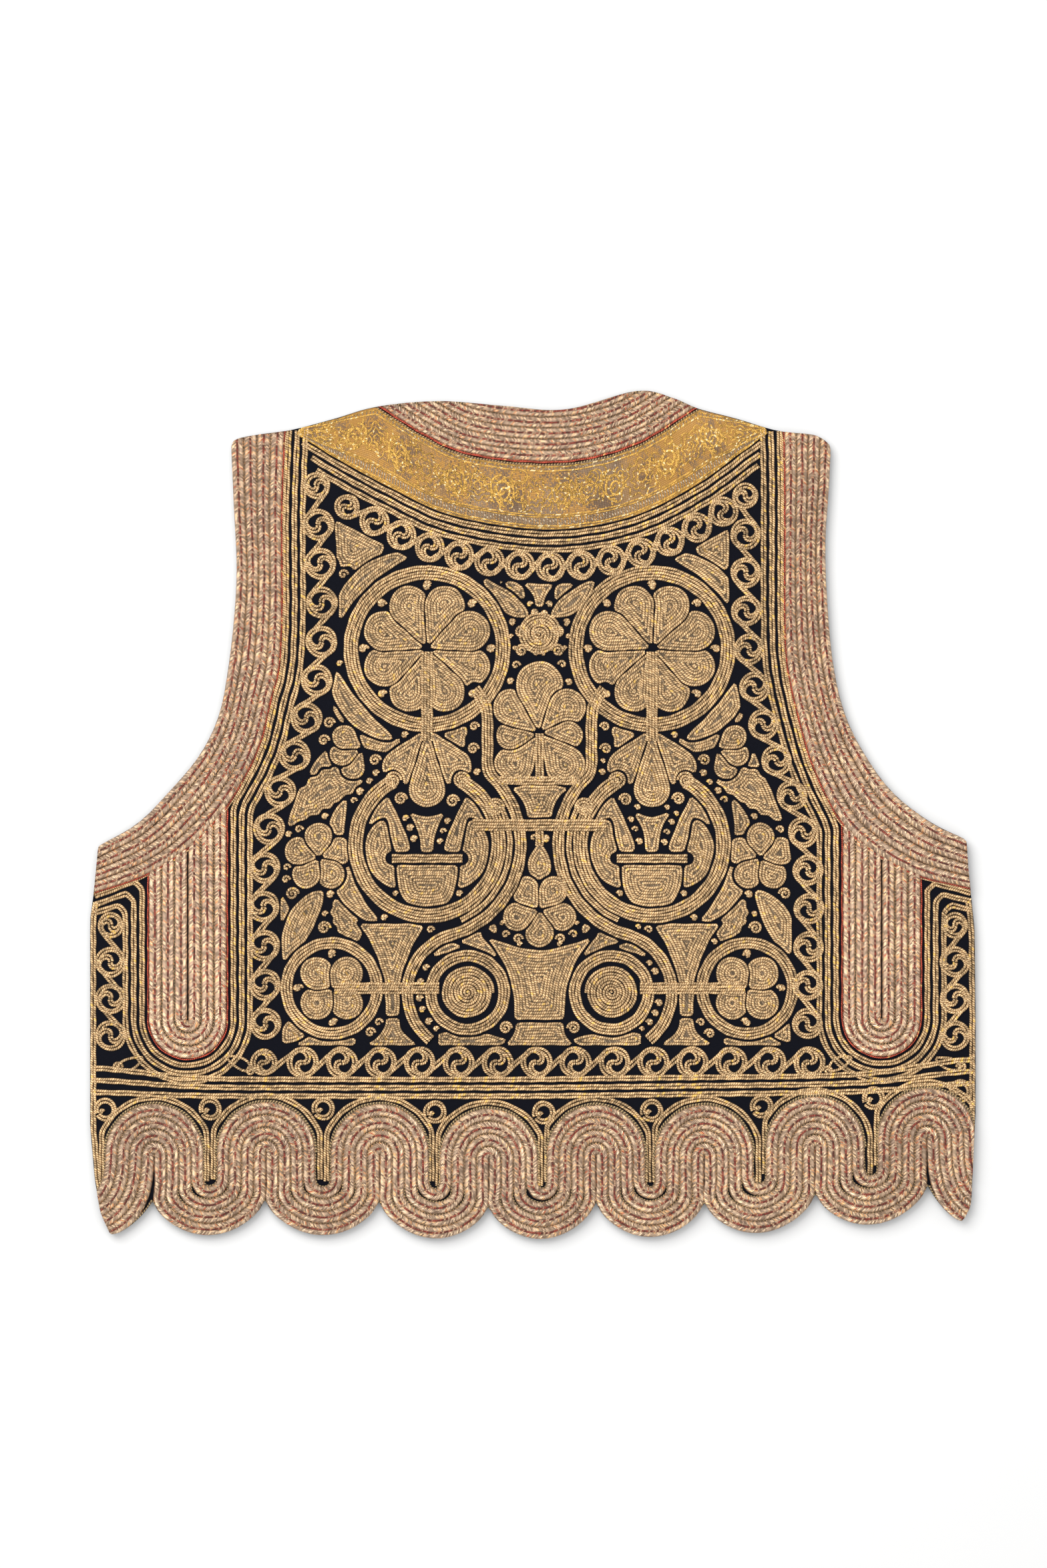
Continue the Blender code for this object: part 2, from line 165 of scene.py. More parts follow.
def along(path, shares):
    """Points at shares of a path's length."""
    s = lengths(path)
    at = np.asarray(shares) * s[-1]
    return np.column_stack([np.interp(at, s, path[:, k]) for k in range(path.shape[1])])


def resample(path, step):
    """Path with points about a step apart."""
    total = lengths(path)[-1]
    count = max(2, int(round(total / step)))
    return along(path, spread(count + 1))


def closed_path(path):
    return np.vstack([path, path[:1]])


def normals(path):
    """Unit vectors to the left of a path."""
    step = np.gradient(path, axis=0)
    if np.linalg.norm(path[0] - path[-1]) < 1e-6 and len(path) > 3:
        wrap = path[1] - path[-2]
        step[0] = wrap
        step[-1] = wrap
    n = np.column_stack([-step[:, 1], step[:, 0]])
    return n / np.maximum(np.linalg.norm(n, axis=1)[:, None], 1e-9)


def leftward(heading):
    """Heading turned a quarter to the left."""
    return np.array([-heading[1], heading[0]])


def shift(path, distance):
    """Path moved to its left by a distance."""
    return path + normals(path) * distance


def circle(x, y, radius, start=0.0, turn=360.0, step=3.0):
    """Arc from a start angle through a turn, in degrees."""
    count = max(12, int(abs(turn) / 360.0 * 2 * math.pi * radius / min(step, radius)) * 2)
    a = np.radians(start + np.linspace(0.0, turn, count + 1))
    return np.column_stack([x + radius * np.cos(a), y + radius * np.sin(a)])


def mirrored(path):
    """Path turned over across the middle line of the back."""
    out = np.array(path, dtype=float)
    out[:, 0] = 2 * MIRROR_X - out[:, 0]
    return out


def scallop(start, end, depth, count=24):
    """One blunt lobe between two notches."""
    t = np.arange(count) / count
    sag = depth * np.sin(np.pi * t) ** 0.62
    x = start[0] + (end[0] - start[0]) * t
    y = start[1] + (end[1] - start[1]) * t - sag
    return np.column_stack([x, y])


def hem_curve(count=24):
    """Scalloped lower edge, from the left side to the right."""
    stops = [LEFT_SIDE[0]] + NOTCHES + [RIGHT_SIDE[0]]
    spans = list(zip(stops[:-1], stops[1:]))
    parts = [scallop(*spans[0], 4.0, count // 2)]
    parts += [scallop(a, b, SCALLOP_DEPTH, count) for a, b in spans[1:-1]]
    parts.append(scallop(*spans[-1], 4.0, count // 2))
    return np.vstack(parts + [np.array([RIGHT_SIDE[0]])])


def side_curve(side, armhole):
    return np.vstack([np.array(side), smooth(armhole)[1:]])


HEM = hem_curve()
LEFT = side_curve(LEFT_SIDE, LEFT_ARMHOLE)
RIGHT = side_curve(RIGHT_SIDE, RIGHT_ARMHOLE)
TOP = smooth(TOP_EDGE)
OUTLINE = np.vstack([HEM[:-1], RIGHT[:-1], TOP[::-1][:-1], LEFT[::-1][:-1]])


def signed_distance(points, polygon):
    """Distance to a closed polygon, positive inside."""
    a = polygon
    b = np.roll(polygon, -1, axis=0)
    step = b - a
    near = np.full(len(points), 1e9)
    inside = np.zeros(len(points), dtype=bool)
    for p, q, d in zip(a, b, step):
        off = points - p
        share = np.clip((off @ d) / max(d @ d, 1e-12), 0.0, 1.0)
        near = np.minimum(near, ((off - share[:, None] * d) ** 2).sum(axis=1))
        crosses = (p[1] > points[:, 1]) != (q[1] > points[:, 1])
        if crosses.any():
            at = p[0] + (points[:, 1] - p[1]) / (d[1] if d[1] else 1e-12) * d[0]
            inside ^= crosses & (points[:, 0] < at)
    near = np.sqrt(near)
    return np.where(inside, near, -near)


class Height:
    """Upper face of the back: a dome over the fronts that rolls down at every edge."""

    def __init__(self, cell=2.0):
        self.cell = cell
        self.x0, self.y0 = OUTLINE.min(axis=0) - 6.0
        x1, y1 = OUTLINE.max(axis=0) + 6.0
        self.nx = int((x1 - self.x0) / cell) + 2
        self.ny = int((y1 - self.y0) / cell) + 2
        gx = self.x0 + np.arange(self.nx) * cell
        gy = self.y0 + np.arange(self.ny) * cell
        xx, yy = np.meshgrid(gx, gy)
        flat = np.column_stack([xx.ravel(), yy.ravel()])
        inside = signed_distance(flat, resample(closed_path(OUTLINE), 4.0)[:-1])
        roll = 0.5 - 0.5 * np.cos(np.pi * np.clip(inside / ROLL_WIDTH, 0.0, 1.0))
        wave = np.sin(flat[:, 0] / 31.0 + 0.7) * np.cos(flat[:, 1] / 39.0)
        wave += 0.6 * np.sin(flat[:, 0] / 17.0 + flat[:, 1] / 23.0)
        self.distance = inside.reshape(self.ny, self.nx)
        self.z = (EDGE_TOP + EDGE_DROP * roll + RIPPLE * wave * roll).reshape(self.ny, self.nx)

    def read(self, field, points):
        u = np.clip((points[:, 0] - self.x0) / self.cell, 0.0, self.nx - 1.001)
        v = np.clip((points[:, 1] - self.y0) / self.cell, 0.0, self.ny - 1.001)
        i, j = v.astype(int), u.astype(int)
        fu, fv = u - j, v - i
        low = field[i, j] * (1 - fu) + field[i, j + 1] * fu
        high = field[i + 1, j] * (1 - fu) + field[i + 1, j + 1] * fu
        return low * (1 - fv) + high * fv

    def __call__(self, points):
        return self.read(self.z, points)

    def inside(self, points):
        return self.read(self.distance, points)

    def uphill(self, points):
        """Unit direction away from the cut edge."""
        slope = np.column_stack([
            self.inside(points + step) - self.inside(points - step) for step in ((1.0, 0.0), (0.0, 1.0))
        ])
        return slope / np.maximum(np.linalg.norm(slope, axis=1)[:, None], 1e-6)

    def trimmed(self, points, margin=0.35):
        """Points past the cut edge brought back to it."""
        out = points.copy()
        for _ in range(3):
            out += self.uphill(out) * np.clip(margin - self.inside(out), 0.0, 6.0)[:, None]
        return out


height = Height()


# ---------------------------------------------------------------- meshes
class Thread:
    """Collects swept strands for one piece; u runs along a strand in mm, v across it from 0 to 1."""

    def __init__(self, name):
        self.name = name
        self.vertices, self.faces, self.uvs, self.tones, self.slots = [], [], [], [], []
        self.count = 0
        self.materials = []
        self.ground = self.across = None

    def slot_of(self, material):
        if material not in self.materials:
            self.materials.append(material)
        return self.materials.index(material)

    def sweep(self, path, across, up, material, lift=0.0, tone=None, u0=0.0, scale=None):
        """One strand: section points at across (mm to the left) and up (mm above the cloth)."""
        if len(path) < 2:
            return
        n = normals(path)
        s = lengths(path) + u0
        rows, k = len(path), len(across)
        wide = np.ones(rows) if scale is None else scale
        xy = path[:, None, :] + n[:, None, :] * np.asarray(across)[None, :, None] * wide[:, None, None]
        xy = height.trimmed(xy.reshape(-1, 2)).reshape(rows, k, 2)
        base = height(path)[:, None] * 0.4 + height(xy.reshape(-1, 2)).reshape(rows, k) * 0.6
        z = base + lift + np.asarray(up)[None, :]
        self.vertices.append(np.concatenate([xy, z[..., None]], axis=2).reshape(-1, 3))
        v = spread(k)
        uv = np.dstack([np.repeat(s[:, None], k, axis=1), np.repeat(v[None], rows, axis=0)])
        self.uvs.append(uv.reshape(-1, 2))
        value = RNG.random() if tone is None else tone
        self.tones.append(np.full(rows * k, value))
        r = np.arange(rows - 1)[:, None] * k
        c = np.arange(k - 1)[None, :]
        a = (r + c + self.count).ravel()
        quads = np.column_stack([a, a + 1, a + k + 1, a + k])[:, ::-1]
        self.faces.append(quads)
        self.slots.append(np.full(len(quads), self.slot_of(material)))
        self.count += rows * k

    def cord(self, path, width=CORD, rise=CORD_HEIGHT, lift=0.0, step=1.5, material=None, tone=None, sides=5):
        path = resample(np.asarray(path, dtype=float), step)
        phase, wave = RNG.random() * 6.0, WOBBLE_LENGTH * (0.7 + 0.6 * RNG.random())
        path = path + normals(path) * (WOBBLE * np.sin(lengths(path) / wave + phase))[:, None]
        a = np.linspace(0.0, math.pi, sides)
        across = width * 0.5 * np.cos(a)
        up = rise * np.sin(a) - 0.12
        self.sweep(path, across, up, material or CORD_LOOK, lift, tone, u0=RNG.random() * 5.0)

    def pad(self, field, x0, y0, cell, material):
        """Low quilted ground under a filled shape, so that no felt shows between its cords."""
        i, j = np.nonzero((field[:-1, :-1] > 0.55) & (field[1:, 1:] > 0.55)
                          & (field[1:, :-1] > 0.55) & (field[:-1, 1:] > 0.55))
        if not len(i):
            return
        corner = np.array([(0, 0), (1, 0), (1, 1), (0, 1)])
        x = x0 + (j[:, None] + corner[:, 0]) * cell
        y = y0 + (i[:, None] + corner[:, 1]) * cell
        xy = np.column_stack([x.ravel(), y.ravel()])
        self.vertices.append(np.column_stack([xy, height(xy) + 0.32]))
        self.uvs.append(np.column_stack([xy[:, 0] + xy[:, 1] * 0.6, np.full(len(xy), 0.5)]))
        self.tones.append(np.full(len(xy), 0.35))
        quads = np.arange(len(xy)).reshape(-1, 4) + self.count
        self.faces.append(quads)
        self.slots.append(np.full(len(quads), self.slot_of(material)))
        self.count += len(xy)

    def build(self):
        vertices = np.vstack(self.vertices) * MM
        faces = np.vstack(self.faces)
        mesh = bpy.data.meshes.new(self.name)
        mesh.vertices.add(len(vertices))
        mesh.vertices.foreach_set("co", vertices.ravel())
        mesh.loops.add(faces.size)
        mesh.loops.foreach_set("vertex_index", faces.ravel().astype(np.int32))
        mesh.polygons.add(len(faces))
        mesh.polygons.foreach_set("loop_start", np.arange(0, faces.size, 4, dtype=np.int32))
        mesh.polygons.foreach_set("material_index", np.concatenate(self.slots).astype(np.int32))
        mesh.polygons.foreach_set("use_smooth", np.ones(len(faces), dtype=bool))
        layer = mesh.uv_layers.new(name="thread")
        layer.data.foreach_set("uv", np.vstack(self.uvs)[faces.ravel()].ravel())
        tone = mesh.attributes.new("tone", "FLOAT", "POINT")
        tone.data.foreach_set("value", np.concatenate(self.tones))
        for material in self.materials:
            mesh.materials.append(material)
        mesh.update()
        mesh.validate()
        return ridden(self.name, mesh)


def placed(name, data):
    """Object of some data, linked into the scene."""
    item = bpy.data.objects.new(name, data)
    bpy.context.scene.collection.objects.link(item)
    return item


def ridden(name, mesh):
    item = placed(name, mesh)
    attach(item, "root")
    return item


def grid_sheet(name, grid, wall, material, uv=None):
    """Sheet from a grid of points in mm, with a lower face straight under it and a closed rim."""
    rows, columns = grid.shape[:2]
    size = rows * columns
    index = np.arange(size).reshape(rows, columns)
    top = np.stack([index[:-1, :-1], index[:-1, 1:], index[1:, 1:], index[1:, :-1]], axis=-1).reshape(-1, 4)
    rim = np.concatenate([index[0, :-1], index[:-1, -1], index[-1, :0:-1], index[:0:-1, 0]])
    after = np.roll(rim, -1)
    walls = np.column_stack([after, rim, rim + size, after + size])
    faces = np.vstack([top, top[:, ::-1] + size, walls])
    under = grid - (0.0, 0.0, wall)
    mesh = bpy.data.meshes.new(name)
    points = np.vstack([grid.reshape(-1, 3), under.reshape(-1, 3)]) * MM
    mesh.from_pydata(points.tolist(), [], faces.tolist())
    layer = mesh.uv_layers.new(name="thread")
    flat = grid[..., :2].reshape(-1, 2) if uv is None else uv.reshape(-1, 2)
    layer.data.foreach_set("uv", np.vstack([flat, flat])[faces.ravel()].ravel())
    mesh.materials.append(material)
    mesh.update()
    return ridden(name, mesh)


def coons(bottom, top, left, right, rows):
    """Grid of points between four edges."""
    u = spread(len(bottom))[None, :, None]
    v = np.asarray(rows)[:, None, None]
    sides = (1 - u) * left[:, None] + u * right[:, None]
    ends = (1 - v) * bottom[None] + v * top[None]
    low = (1 - u) * bottom[0] + u * bottom[-1]
    high = (1 - u) * top[0] + u * top[-1]
    return sides + ends - (1 - v) * low - v * high


def draped(grid, lift=0.0):
    """Grid laid on the back's upper face."""
    z = height(grid.reshape(-1, 2)).reshape(grid.shape[:2]) + lift
    return np.dstack([grid, z])


# ---------------------------------------------------------------- materials
class Look:
    """Small helper that wires one Principled material."""

    def __init__(self, name):
        self.material = bpy.data.materials.new(name)
        self.material.use_nodes = True
        self.tree = self.material.node_tree
        self.shader = self.tree.nodes["Principled BSDF"]

    def node(self, kind, **values):
        made = self.tree.nodes.new(kind)
        for key, value in values.items():
            setattr(made, key, value)
        return made

    def feed(self, socket, value):
        if hasattr(value, "is_output"):
            self.tree.links.new(value, socket)
        else:
            socket.default_value = value

    def math(self, operation, a, b=0.0, c=0.0):
        made = self.node("ShaderNodeMath", operation=operation)
        for socket, value in zip(made.inputs, (a, b, c)):
            self.feed(socket, value)
        return made.outputs[0]

    def times(self, a, b):
        return self.math("MULTIPLY", a, b)

    def plus(self, a, b):
        return self.math("ADD", a, b)

    def minus(self, a, b):
        return self.math("SUBTRACT", a, b)

    def over(self, a, b):
        return self.math("DIVIDE", a, b)

    def fold(self, value):
        """Triangle wave from 0 to 0.5 and back, once a unit."""
        return self.math("PINGPONG", value, 0.5)

    def tint(self, colour, other):
        return self.mix(1.0, colour, other, "MULTIPLY")

    def uv(self):
        made = self.node("ShaderNodeUVMap", uv_map="thread")
        split = self.node("ShaderNodeSeparateXYZ")
        self.feed(split.inputs[0], made.outputs[0])
        return split.outputs[0], split.outputs[1]

    def tone(self):
        return self.node("ShaderNodeAttribute", attribute_name="tone").outputs["Fac"]

    def place(self):
        return self.node("ShaderNodeTexCoord").outputs["Object"]

    def noise(self, scale, detail=2.0, roughness=0.5):
        made = self.node("ShaderNodeTexNoise")
        self.feed(made.inputs["Vector"], self.place())
        made.inputs["Scale"].default_value = scale
        made.inputs["Detail"].default_value = detail
        made.inputs["Roughness"].default_value = roughness
        return made.outputs["Fac"]

    def speckle(self, value):
        made = self.node("ShaderNodeTexWhiteNoise", noise_dimensions="1D")
        self.feed(made.inputs["W"], value)
        return made.outputs["Value"]

    def ramp(self, value, stops):
        made = self.node("ShaderNodeValToRGB")
        ramp = made.color_ramp
        while len(ramp.elements) < len(stops):
            ramp.elements.new(0.5)
        for element, (at, colour) in zip(ramp.elements, stops):
            element.position = at
            element.color = (*colour, 1.0)
        self.feed(made.inputs[0], value)
        return made.outputs[0]

    def mix(self, share, a, b, blend="MIX"):
        made = self.node("ShaderNodeMix", data_type="RGBA", blend_type=blend)
        self.feed(made.inputs[0], share)
        for socket, value in ((made.inputs[6], a), (made.inputs[7], b)):
            self.feed(socket, (*value, 1.0) if isinstance(value, tuple) else value)
        return made.outputs[2]

    def bump(self, value, distance, strength=1.0):
        made = self.node("ShaderNodeBump")
        made.inputs["Strength"].default_value = strength
        made.inputs["Distance"].default_value = distance
        self.feed(made.inputs["Height"], value)
        self.feed(self.shader.inputs["Normal"], made.outputs[0])

    def finish(self, colour, roughness, metallic=0.0, sheen=0.0):
        self.feed(self.shader.inputs["Base Color"], (*colour, 1.0) if isinstance(colour, tuple) else colour)
        self.feed(self.shader.inputs["Roughness"], roughness)
        self.shader.inputs["Metallic"].default_value = metallic
        self.shader.inputs["Sheen Weight"].default_value = sheen
        return self.material


def twisted(name, low, mid, high, speck, pitch, metallic, speck_share=0.9):
    """Twisted thread: slanting plies with painted shade in their furrows and a painted highlight on their
    crests, tone from strand to strand, a few bright specks, and painted shade along both edges of the cord.
    """
    look = Look(name)
    u, v = look.uv()
    wobble = look.times(look.noise(260.0, 1.0), 0.5)
    turn = look.plus(look.over(u, pitch), look.plus(look.times(v, 1.15), wobble))
    ply = look.fold(turn)
    # Ply colour: the low stop is painted shade in the furrow, the high stop a painted highlight on the crest.
    colour = look.ramp(ply, [(0.0, low), (0.14, mid), (0.30, mid), (0.46, high)])
    cell = look.math("FLOOR", look.plus(turn, look.times(look.tone(), 40.0)))
    chance = look.speckle(cell)
    colour = look.mix(look.math("GREATER_THAN", chance, speck_share), colour, speck)
    shade = look.plus(0.80, look.times(look.tone(), 0.3))
    wide = look.plus(shade, look.times(look.minus(look.noise(22.0, 3.0), 0.5), 0.5))
    fine = look.plus(wide, look.times(look.minus(chance, 0.45), 0.95))
    grey = look.node("ShaderNodeCombineColor")
    for socket in grey.inputs[:3]:
        look.feed(socket, fine)
    colour = look.tint(colour, grey.outputs[0])
    # Painted shade along the cord's edges, where it meets its neighbours, and a slight painted highlight
    # along its top.
    foot = look.math("ABSOLUTE", look.minus(v, 0.5))
    colour = look.tint(colour, look.ramp(foot, [(0.20, (1.08, 1.08, 1.08)), (0.5, (0.15, 0.10, 0.07))]))
    look.bump(ply, 0.0007)
    return look.finish(colour, 0.42, metallic)


def plaited(name, bright):
    """Flat plait: fine metal strands leaning from both edges to a red middle line, with painted shade between
    the strands, in the groove along the middle and in the furrow at each edge, painted highlights on the
    strand and rib crests, and painted glints.
    """
    look = Look(name)
    u, v = look.uv()
    side = look.math("ABSOLUTE", look.minus(v, 0.5))
    lean = look.plus(look.over(u, STRAND_PITCH), look.times(side, 7.6))
    strand = look.fold(lean)
    part = look.times(look.math("FLOOR", look.times(v, 6.0)), 31.0)
    cell = look.math("FLOOR", look.plus(lean, look.plus(part, look.times(look.tone(), 60.0))))
    chance = look.speckle(cell)
    # Strand colour: painted shade in the gap between strands, painted highlight on each strand's crest.
    colour = look.ramp(strand, [(0.0, (0.36, 0.25, 0.175)), (0.14, (0.56, 0.41, 0.30)),
                                (0.34, (0.68, 0.515, 0.385)), (0.5, (0.94, 0.76, 0.59))])
    # Random tone from strand to strand, painted glints on the brightest strands, and real gold and red
    # flecks.
    glints_and_flecks = look.ramp(chance, [(0.0, (0.36, 0.32, 0.29)), (0.3, (0.74, 0.71, 0.68)), (0.65, (1.0, 0.98, 0.96)),
                              (0.86, (1.80, 1.73, 1.60)), (0.95, (1.50, 1.18, 0.78)),
                              (1.0, (0.80, 0.26, 0.18))])
    colour = look.tint(colour, glints_and_flecks)
    low, high = 0.84 * bright, 1.14 * bright
    dull, clean = (low, low * 0.97, low * 0.96), (high, high * 0.97, high * 0.91)
    patch = look.ramp(look.noise(60.0, 3.0), [(0.32, dull), (0.68, clean)])
    colour = look.tint(colour, patch)
    # Painted shade in the furrow at each edge of the plait and in the groove along its spine, where the red
    # of the spine line also shows; painted highlight on the crest of each rib.
    rib = look.ramp(side, [(0.0, (0.42, 0.20, 0.14)), (0.07, (0.84, 0.78, 0.74)), (0.24, (1.30, 1.28, 1.25)),
                           (0.39, (0.84, 0.78, 0.74)), (0.5, (0.10, 0.05, 0.03))])
    colour = look.tint(colour, rib)
    look.bump(strand, 0.0005)
    return look.finish(colour, 0.36, 0.4)


def two_ply(name, a, b, pitch, metallic=0.2):
    """Cord of two twisted plies in two colours."""
    look = Look(name)
    u, v = look.uv()
    turn = look.plus(look.over(u, pitch), v)
    which = look.math("FRACT", look.times(turn, 0.5))
    colour = look.mix(look.math("GREATER_THAN", which, 0.5), a, b)
    ply = look.fold(turn)
    # Painted shade in the furrows between the plies, painted highlight on their crests.
    dark = look.ramp(ply, [(0.0, (0.35, 0.35, 0.35)), (0.2, (0.95, 0.95, 0.95)), (0.5, (1.15, 1.15, 1.15))])
    colour = look.tint(colour, dark)
    look.bump(ply, 0.0005)
    return look.finish(colour, 0.45, metallic)


def dotted(name, stops, pitch):
    """Line of short stitches whose colours come by chance from a row of stops."""
    look = Look(name)
    u, v = look.uv()
    turn = look.plus(look.over(u, pitch), look.times(v, 0.6))
    chance = look.speckle(look.plus(look.math("FLOOR", turn), look.times(look.tone(), 90.0)))
    ply = look.fold(turn)
    # Painted shade in the furrows of the twist.
    dark = look.ramp(ply, [(0.0, (0.45, 0.42, 0.40)), (0.25, (1.0, 1.0, 1.0))])
    colour = look.tint(look.ramp(chance, stops), dark)
    look.bump(ply, 0.0005)
    return look.finish(colour, 0.5, 0.15)


def felted(name, colour, lighter):
    """Fulled wool with a fine nap."""
    look = Look(name)
    share = look.times(look.noise(900.0, 4.0, 0.7), 0.8)
    tint = look.mix(share, colour, lighter)
    look.bump(look.noise(1400.0, 4.0, 0.7), 0.0004, 0.6)
    look.shader.inputs["Specular IOR Level"].default_value = 0.12
    return look.finish(tint, 0.95, 0.0, 0.02)


def woven(name):
    """Brocade ground: metal strip weft bars crossed by silk, with a soft figure in yellow silk."""
    look = Look(name)
    u, v = look.uv()
    bars = look.fold(look.over(u, 0.62))
    rows = look.fold(look.over(v, 0.9))
    ground = look.ramp(bars, [(0.0, (0.09, 0.048, 0.024)), (0.2, (0.29, 0.185, 0.105)),
                              (0.5, (0.52, 0.36, 0.22))])
    worn = look.ramp(look.noise(48.0, 3.0, 0.6), [(0.36, (0.62, 0.58, 0.58)), (0.62, (1.22, 1.20, 1.18))])
    ground = look.tint(ground, worn)
    cell = look.plus(look.math("FLOOR", look.over(u, 0.62)),
                     look.times(look.math("FLOOR", look.over(v, 0.9)), 57.0))
    chance = look.speckle(cell)
    glint = look.math("GREATER_THAN", chance, 0.965)
    ground = look.mix(glint, ground, (0.70, 0.58, 0.43))
    silk = look.ramp(rows, [(0.0, (0.46, 0.21, 0.035)), (0.5, (0.76, 0.40, 0.085))])
    cloud = look.plus(look.noise(34.0, 4.0, 0.6), look.times(look.minus(chance, 0.5), 0.24))
    share = look.ramp(cloud, [(0.53, (0.0, 0.0, 0.0)), (0.61, (0.85, 0.85, 0.85))])
    ends = look.math("ABSOLUTE", look.minus(look.over(u, YOKE_RUN), 0.5))
    figure = look.ramp(look.noise(95.0, 3.0, 0.6), [(0.45, (0.10, 0.10, 0.10)), (0.51, (1.0, 1.0, 1.0))])
    gold = look.times(look.ramp(ends, [(0.13, (0.0, 0.0, 0.0)), (0.27, (0.8, 0.8, 0.8))]), figure)
    colour = look.mix(look.math("MAXIMUM", share, gold), ground, silk)
    look.bump(look.plus(bars, look.times(rows, 0.6)), 0.0003)
    return look.finish(colour, 0.42, 0.35)


# Twisted looks: furrow colour (painted shade), ply colour, crest colour (painted highlight), speck colour,
# twist pitch in mm, metallic, share without specks.
CORD_LOOK = twisted("gilt_cord", (0.11, 0.055, 0.018), (0.70, 0.425, 0.198), (1.0, 0.78, 0.45),
                    (0.74, 0.47, 0.13), 1.25, 0.22, 0.955)
GROUND_LOOK = twisted("cord_ground", (0.07, 0.045, 0.025), (0.21, 0.145, 0.085), (0.30, 0.22, 0.14),
                      (0.34, 0.20, 0.06), 1.25, 0.0, 0.97)
BRAID_LOOK = plaited("silver_plait", 1.0)
PALE_BRAID_LOOK = plaited("pale_silver_plait", 1.28)
SPINE_LOOK = dotted("red_gold_twist", [(0.0, (0.10, 0.035, 0.022)), (0.34, (0.20, 0.035, 0.02)),
                                       (0.62, (0.40, 0.075, 0.045)), (0.86, (0.58, 0.36, 0.22))], 1.15)
EDGE_LOOK = two_ply("gold_dark_twist", (0.66, 0.48, 0.24), (0.13, 0.085, 0.05), 0.8)
RED_LOOK = twisted("red_cord", (0.16, 0.012, 0.008), (0.48, 0.055, 0.028), (0.70, 0.16, 0.09),
                   (0.62, 0.34, 0.12), 1.1, 0.0, 0.95)
SILK_LOOK = twisted("yellow_silk", (0.40, 0.17, 0.015), (0.80, 0.43, 0.07), (1.0, 0.66, 0.20),
                    (0.85, 0.66, 0.34), 0.9, 0.0)
BAR_LOOK = two_ply("silver_bar", (0.60, 0.48, 0.33), (0.33, 0.23, 0.13), 1.7, 0.25)
FELT_LOOK = felted("navy_felt", (0.0026, 0.0029, 0.0056), (0.0075, 0.0082, 0.0145))
FRONT_LOOK = felted("front_wool", (0.020, 0.012, 0.013), (0.055, 0.030, 0.028))
BROCADE_LOOK = woven("brocade_ground")


# ---------------------------------------------------------------- cord layouts
def contours(field, x0, y0, cell, level):
    """Closed level lines of a field on a grid."""
    f = field - level
    up = f > 0
    across = up[:, :-1] != up[:, 1:]
    down = up[:-1] != up[1:]
    if not across.any():
        return []
    number_a = np.full(across.shape, -1)
    number_a[across] = np.arange(across.sum())
    number_d = np.full(down.shape, -1)
    number_d[down] = across.sum() + np.arange(down.sum())
    i, j = np.nonzero(across)
    t = f[i, j] / (f[i, j] - f[i, j + 1])
    first = np.column_stack([x0 + (j + t) * cell, y0 + i * cell])
    i, j = np.nonzero(down)
    t = f[i, j] / (f[i, j] - f[i + 1, j])
    second = np.column_stack([x0 + j * cell, y0 + (i + t) * cell])
    points = np.vstack([first, second])
    links = [[] for _ in points]
    sides = np.stack([number_a[:-1], number_d[:, 1:], number_a[1:], number_d[:, :-1]], axis=-1)
    for row in sides[(sides >= 0).any(axis=-1)]:
        ids = [k for k in row if k >= 0]
        pairs = [(ids[0], ids[1])] if len(ids) == 2 else [(row[0], row[3]), (row[1], row[2])]
        for a, b in pairs:
            links[a].append(b)
            links[b].append(a)
    seen = np.zeros(len(points), dtype=bool)
    loops = []
    for start in range(len(points)):
        if seen[start]:
            continue
        loop, at = [], start
        while at is not None and not seen[at]:
            seen[at] = True
            loop.append(at)
            at = next((k for k in links[at] if not seen[k]), None)
        if len(loop) > 8:
            loops.append(points[loop])
    return loops


def soften(path, rounds=3):
    """Closed path with its stair steps smoothed away."""
    out = path
    for _ in range(rounds):
        out = 0.5 * out + 0.25 * (np.roll(out, 1, axis=0) + np.roll(out, -1, axis=0))
    return out


class Ground:
    """Room left in the figured field: distance from each place to the nearest thread already laid."""

    def __init__(self, border, margin, cell=0.5):
        self.cell = cell
        self.low = border.min(axis=0)
        self.count = ((border.max(axis=0) - self.low) / cell).astype(int) + 2
        _, xs, ys, points = self.window(border, 0.0)
        self.free = signed_distance(points, border).reshape(len(ys), len(xs)) - margin

    def window(self, shape, margin):
        """Part of the grid round a shape: its slices, its lines and its points."""
        first = np.floor((shape.min(axis=0) - margin - self.low) / self.cell).astype(int)
        last = np.ceil((shape.max(axis=0) + margin - self.low) / self.cell).astype(int) + 1
        first, last = np.clip(first, 0, self.count), np.clip(last, 0, self.count)
        xs = self.low[0] + np.arange(first[0], last[0]) * self.cell
        ys = self.low[1] + np.arange(first[1], last[1]) * self.cell
        xx, yy = np.meshgrid(xs, ys)
        where = (slice(first[1], last[1]), slice(first[0], last[0]))
        return where, xs, ys, np.column_stack([xx.ravel(), yy.ravel()])

    def take(self, shape):
        """Marks a filled shape; gives its window and the distances inside it."""
        where, xs, ys, points = self.window(shape, KEEP_CLEAR)
        own = signed_distance(points, shape).reshape(len(ys), len(xs))
        room = self.free[where].copy()
        self.free[where] = np.minimum(room, -own)
        return own, room, xs, ys

    def keep_off(self, path, half):
        """Marks a band of thread along a path."""
        path = resample(np.asarray(path, dtype=float), 1.0)
        where, xs, ys, points = self.window(path, half + KEEP_CLEAR)
        near = np.full(len(points), 1e9)
        for x, y in path:
            near = np.minimum(near, (points[:, 0] - x) ** 2 + (points[:, 1] - y) ** 2)
        self.free[where] = np.minimum(self.free[where], np.sqrt(near).reshape(len(ys), len(xs)) - half)


